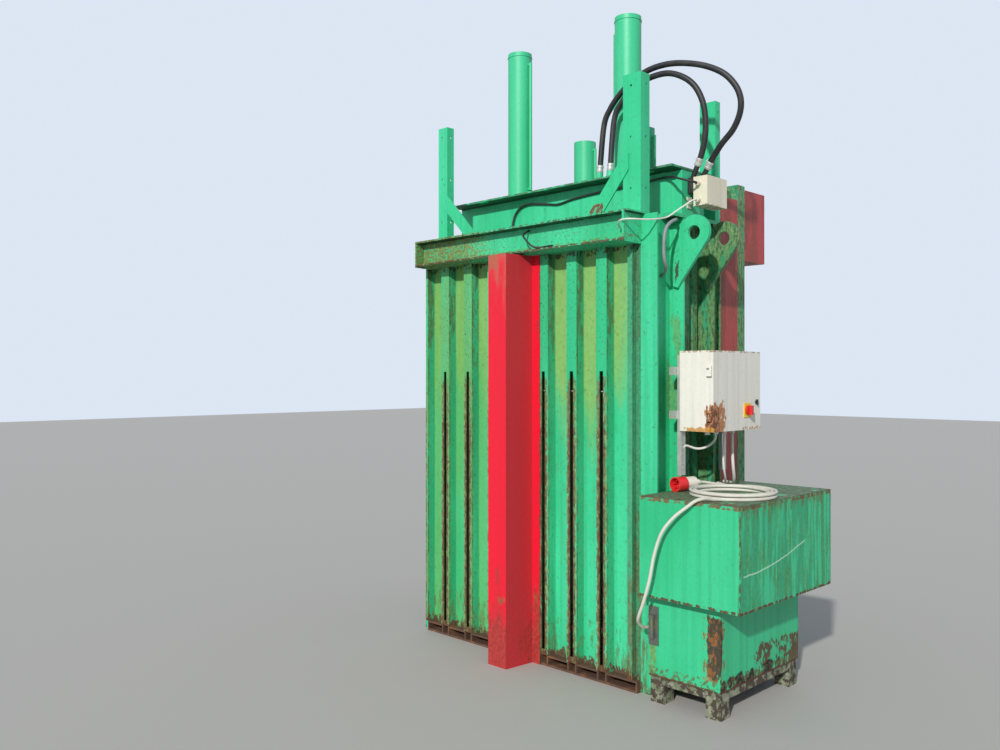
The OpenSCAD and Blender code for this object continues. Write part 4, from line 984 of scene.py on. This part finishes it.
RUNS: tuple[Run, ...] = (
    Run("signal_wire_white", 0.0042, Finish.WHITE, "cream_plastic", "medium", "hanging", (
        (978, -165.5, 2495), (977, -178, 2493), (970, -205, 2482), (957, -235, 2460), (940, -268, 2436),
        (925, -300, 2412), (917, -335, 2392), (913, -375, 2381), (910, -415, 2373), (904, -460, 2366),
        (895, -505, 2362), (878, -545, 2361), (850, -564, 2363), (815, -568, 2364), (790, -562, 2360),
        (770, -545, 2350), (758, -520, 2340), (752, -494, 2335))),
    Run("crosshead_wire", 0.006, Finish.RUBBER, "black_rubber", "medium", "hanging", (
        (978, -165.5, 2580), (977, -180, 2581), (965, -198, 2585), (940, -208, 2594), (905, -206, 2606),
        (868, -190, 2620), (830, -160, 2632), (790, -135, 2642), (740, -120, 2648), (660, -114, 2646),
        (560, -113, 2640), (460, -113, 2636), (340, -113, 2634), (220, -113, 2630), (100, -113, 2622),
        (0, -113, 2608), (-80, -113, 2618), (-155, -114, 2629), (-237, -116, 2638), (-300, -118, 2628),
        (-345, -120, 2592), (-366, -122, 2540), (-372, -124, 2490), (-374, -124, 2442.5))),
    Run("beam_loop_wire", 0.005, Finish.RUBBER, "black_rubber", "limp", "hanging", (
        (118, -494, 2395), (120, -515, 2385), (124, -542, 2372), (134, -558, 2356), (150, -562, 2340),
        (168, -562, 2322), (188, -562, 2304), (212, -561, 2290), (238, -558, 2284), (262, -545, 2285),
        (280, -522, 2290), (290, -494, 2296))),
    Run("column_conduit", 0.009, Finish.GREY, "black_rubber", "stiff", "taut", (
        (827, -205, 2390), (848, -208, 2394), (876, -216, 2396), (900, -232, 2394), (912, -258, 2388),
        (913, -288, 2376), (913, -318, 2358), (913, -342, 2332), (913, -356, 2295), (913, -361, 2250),
        (913, -360, 2205), (911, -350, 2172), (903, -330, 2148), (886, -306, 2132), (862, -284, 2121),
        (840, -266, 2113), (827, -254, 2108))),
    Run("cabinet_wire_low", 0.006, Finish.WHITE, "cream_plastic", "medium", "hanging", (
        (1050, -100, 1298.5), (1050, -101, 1286), (1047, -108, 1268), (1038, -124, 1250), (1024, -146, 1236),
        (1008, -168, 1228), (990, -190, 1228), (975, -212, 1236), (966, -236, 1243), (962, -256, 1240),
        (957, -272, 1226))),
    Run("cabinet_wire_left", 0.0055, Finish.WHITE, "cream_plastic", "medium", "hanging", (
        (1050, -20, 1298.5), (1050, -20, 1280), (1049, -21, 1250), (1047, -22, 1215), (1046, -22, 1180),
        (1046, -20, 1145), (1045, -12, 1112), (1040, 4, 1084), (1030, 26, 1060), (1014, 52, 1040),
        (992, 80, 1027), (968, 104, 1021.5), (940, 126, 1020.7), (910.6, 144, 1020.7))),
    Run("cabinet_wire_right", 0.008, Finish.WHITE, "cream_plastic", "medium", "hanging", (
        (1050, 60, 1298.5), (1050, 60, 1270), (1050, 60, 1230), (1051, 60, 1190), (1052, 62, 1150),
        (1050, 70, 1112), (1044, 86, 1080), (1032, 108, 1052), (1014, 134, 1034), (992, 160, 1025.5),
        (965, 182, 1023.4), (935, 198, 1023.2), (911.5, 206, 1023.2))),
)


@dataclass
class Wiring:
    """Signal wires, cabinet wires and the conduit."""

    shop: Workshop
    steps: int = 5

    def build(self) -> None:
        """Lays every run as a fixed cord."""
        for run in RUNS:
            line = resample(np.asarray(run.route, float) / MILLI, self.steps)
            piece = self.shop.cable(run.name, line, run.radius, run.finish, run.slot)


@dataclass
class Stage:
    """Floor, light and camera, with angles in degrees."""

    floor_half: float = 30.0
    floor_colour: Colour = (0.42, 0.41, 0.39)
    floor_rough: float = 0.8
    sky_colour: Colour = (0.80, 0.88, 1.0)
    sky_light: float = 0.5
    sky_shown: float = 0.9
    sun_energy: float = 3.4
    sun_colour: Colour = (1.0, 0.97, 0.92)
    sun_width: float = 2.0
    sun_turn: Triple = (62.0, 0.0, 24.0)
    lens: float = 32.4
    sensor: float = 36.0
    eye: Triple = (3.505, -4.12, 1.60)
    eye_turn: Triple = (90.0, 0.0, 44.9)

    def world(self) -> None:
        """Makes a soft sky that shows brighter to the camera and in reflections than it lights."""
        world = bpy.data.worlds.new("soft_sky")
        world.use_nodes = True
        tree = world.node_tree
        sky = tree.nodes["Background"]
        sky.inputs[0].default_value = (*self.sky_colour, 1)
        path = tree.nodes.new("ShaderNodeLightPath")
        seen = tree.nodes.new("ShaderNodeMath")
        seen.operation = "MAXIMUM"
        strength = tree.nodes.new("ShaderNodeMath")
        strength.operation = "MULTIPLY_ADD"
        strength.inputs[1].default_value = self.sky_shown - self.sky_light
        strength.inputs[2].default_value = self.sky_light
        tree.links.new(path.outputs["Is Camera Ray"], seen.inputs[0])
        tree.links.new(path.outputs["Is Glossy Ray"], seen.inputs[1])
        tree.links.new(seen.outputs[0], strength.inputs[0])
        tree.links.new(strength.outputs[0], sky.inputs[1])
        bpy.context.scene.world = world

    def build(self) -> None:
        """Lays a pale floor, the sky and one sun, and sets the camera of the photograph."""
        n = Net("floor_plain")
        n.finish(self.floor_colour, self.floor_rough)
        mesh = bpy.data.meshes.new("floor")
        h = self.floor_half
        mesh.from_pydata([(-h, -h, 0), (h, -h, 0), (h, h, 0), (-h, h, 0)], [], [(0, 1, 2, 3)])
        mesh.materials.append(n.material)
        floor = bpy.data.objects.new("floor", mesh)
        bpy.context.scene.collection.objects.link(floor)
        self.world()
        sun = bpy.data.lights.new("sun", "SUN")
        sun.energy = self.sun_energy
        sun.color = self.sun_colour
        sun.angle = math.radians(self.sun_width)
        lamp = bpy.data.objects.new("sun", sun)
        bpy.context.scene.collection.objects.link(lamp)
        lamp.rotation_euler = tuple(map(math.radians, self.sun_turn))
        data = bpy.data.cameras.new("camera")
        data.lens, data.sensor_width = self.lens, self.sensor
        camera = bpy.data.objects.new("camera", data)
        camera.location = self.eye
        camera.rotation_euler = tuple(map(math.radians, self.eye_turn))
        bpy.context.scene.collection.objects.link(camera)
        bpy.context.scene.camera = camera
        bpy.context.scene.view_settings.view_transform = "Standard"


def main() -> None:
    """Builds the stage, then every part class in order."""
    logging.basicConfig(level=logging.INFO, format="%(message)s")
    shop = Workshop()
    Stage().build()
    for part in (MainsLead, Hoses, Wiring, Chamber, Press, PowerPack):
        part(shop).build()


if __name__ == "__main__":
    main()
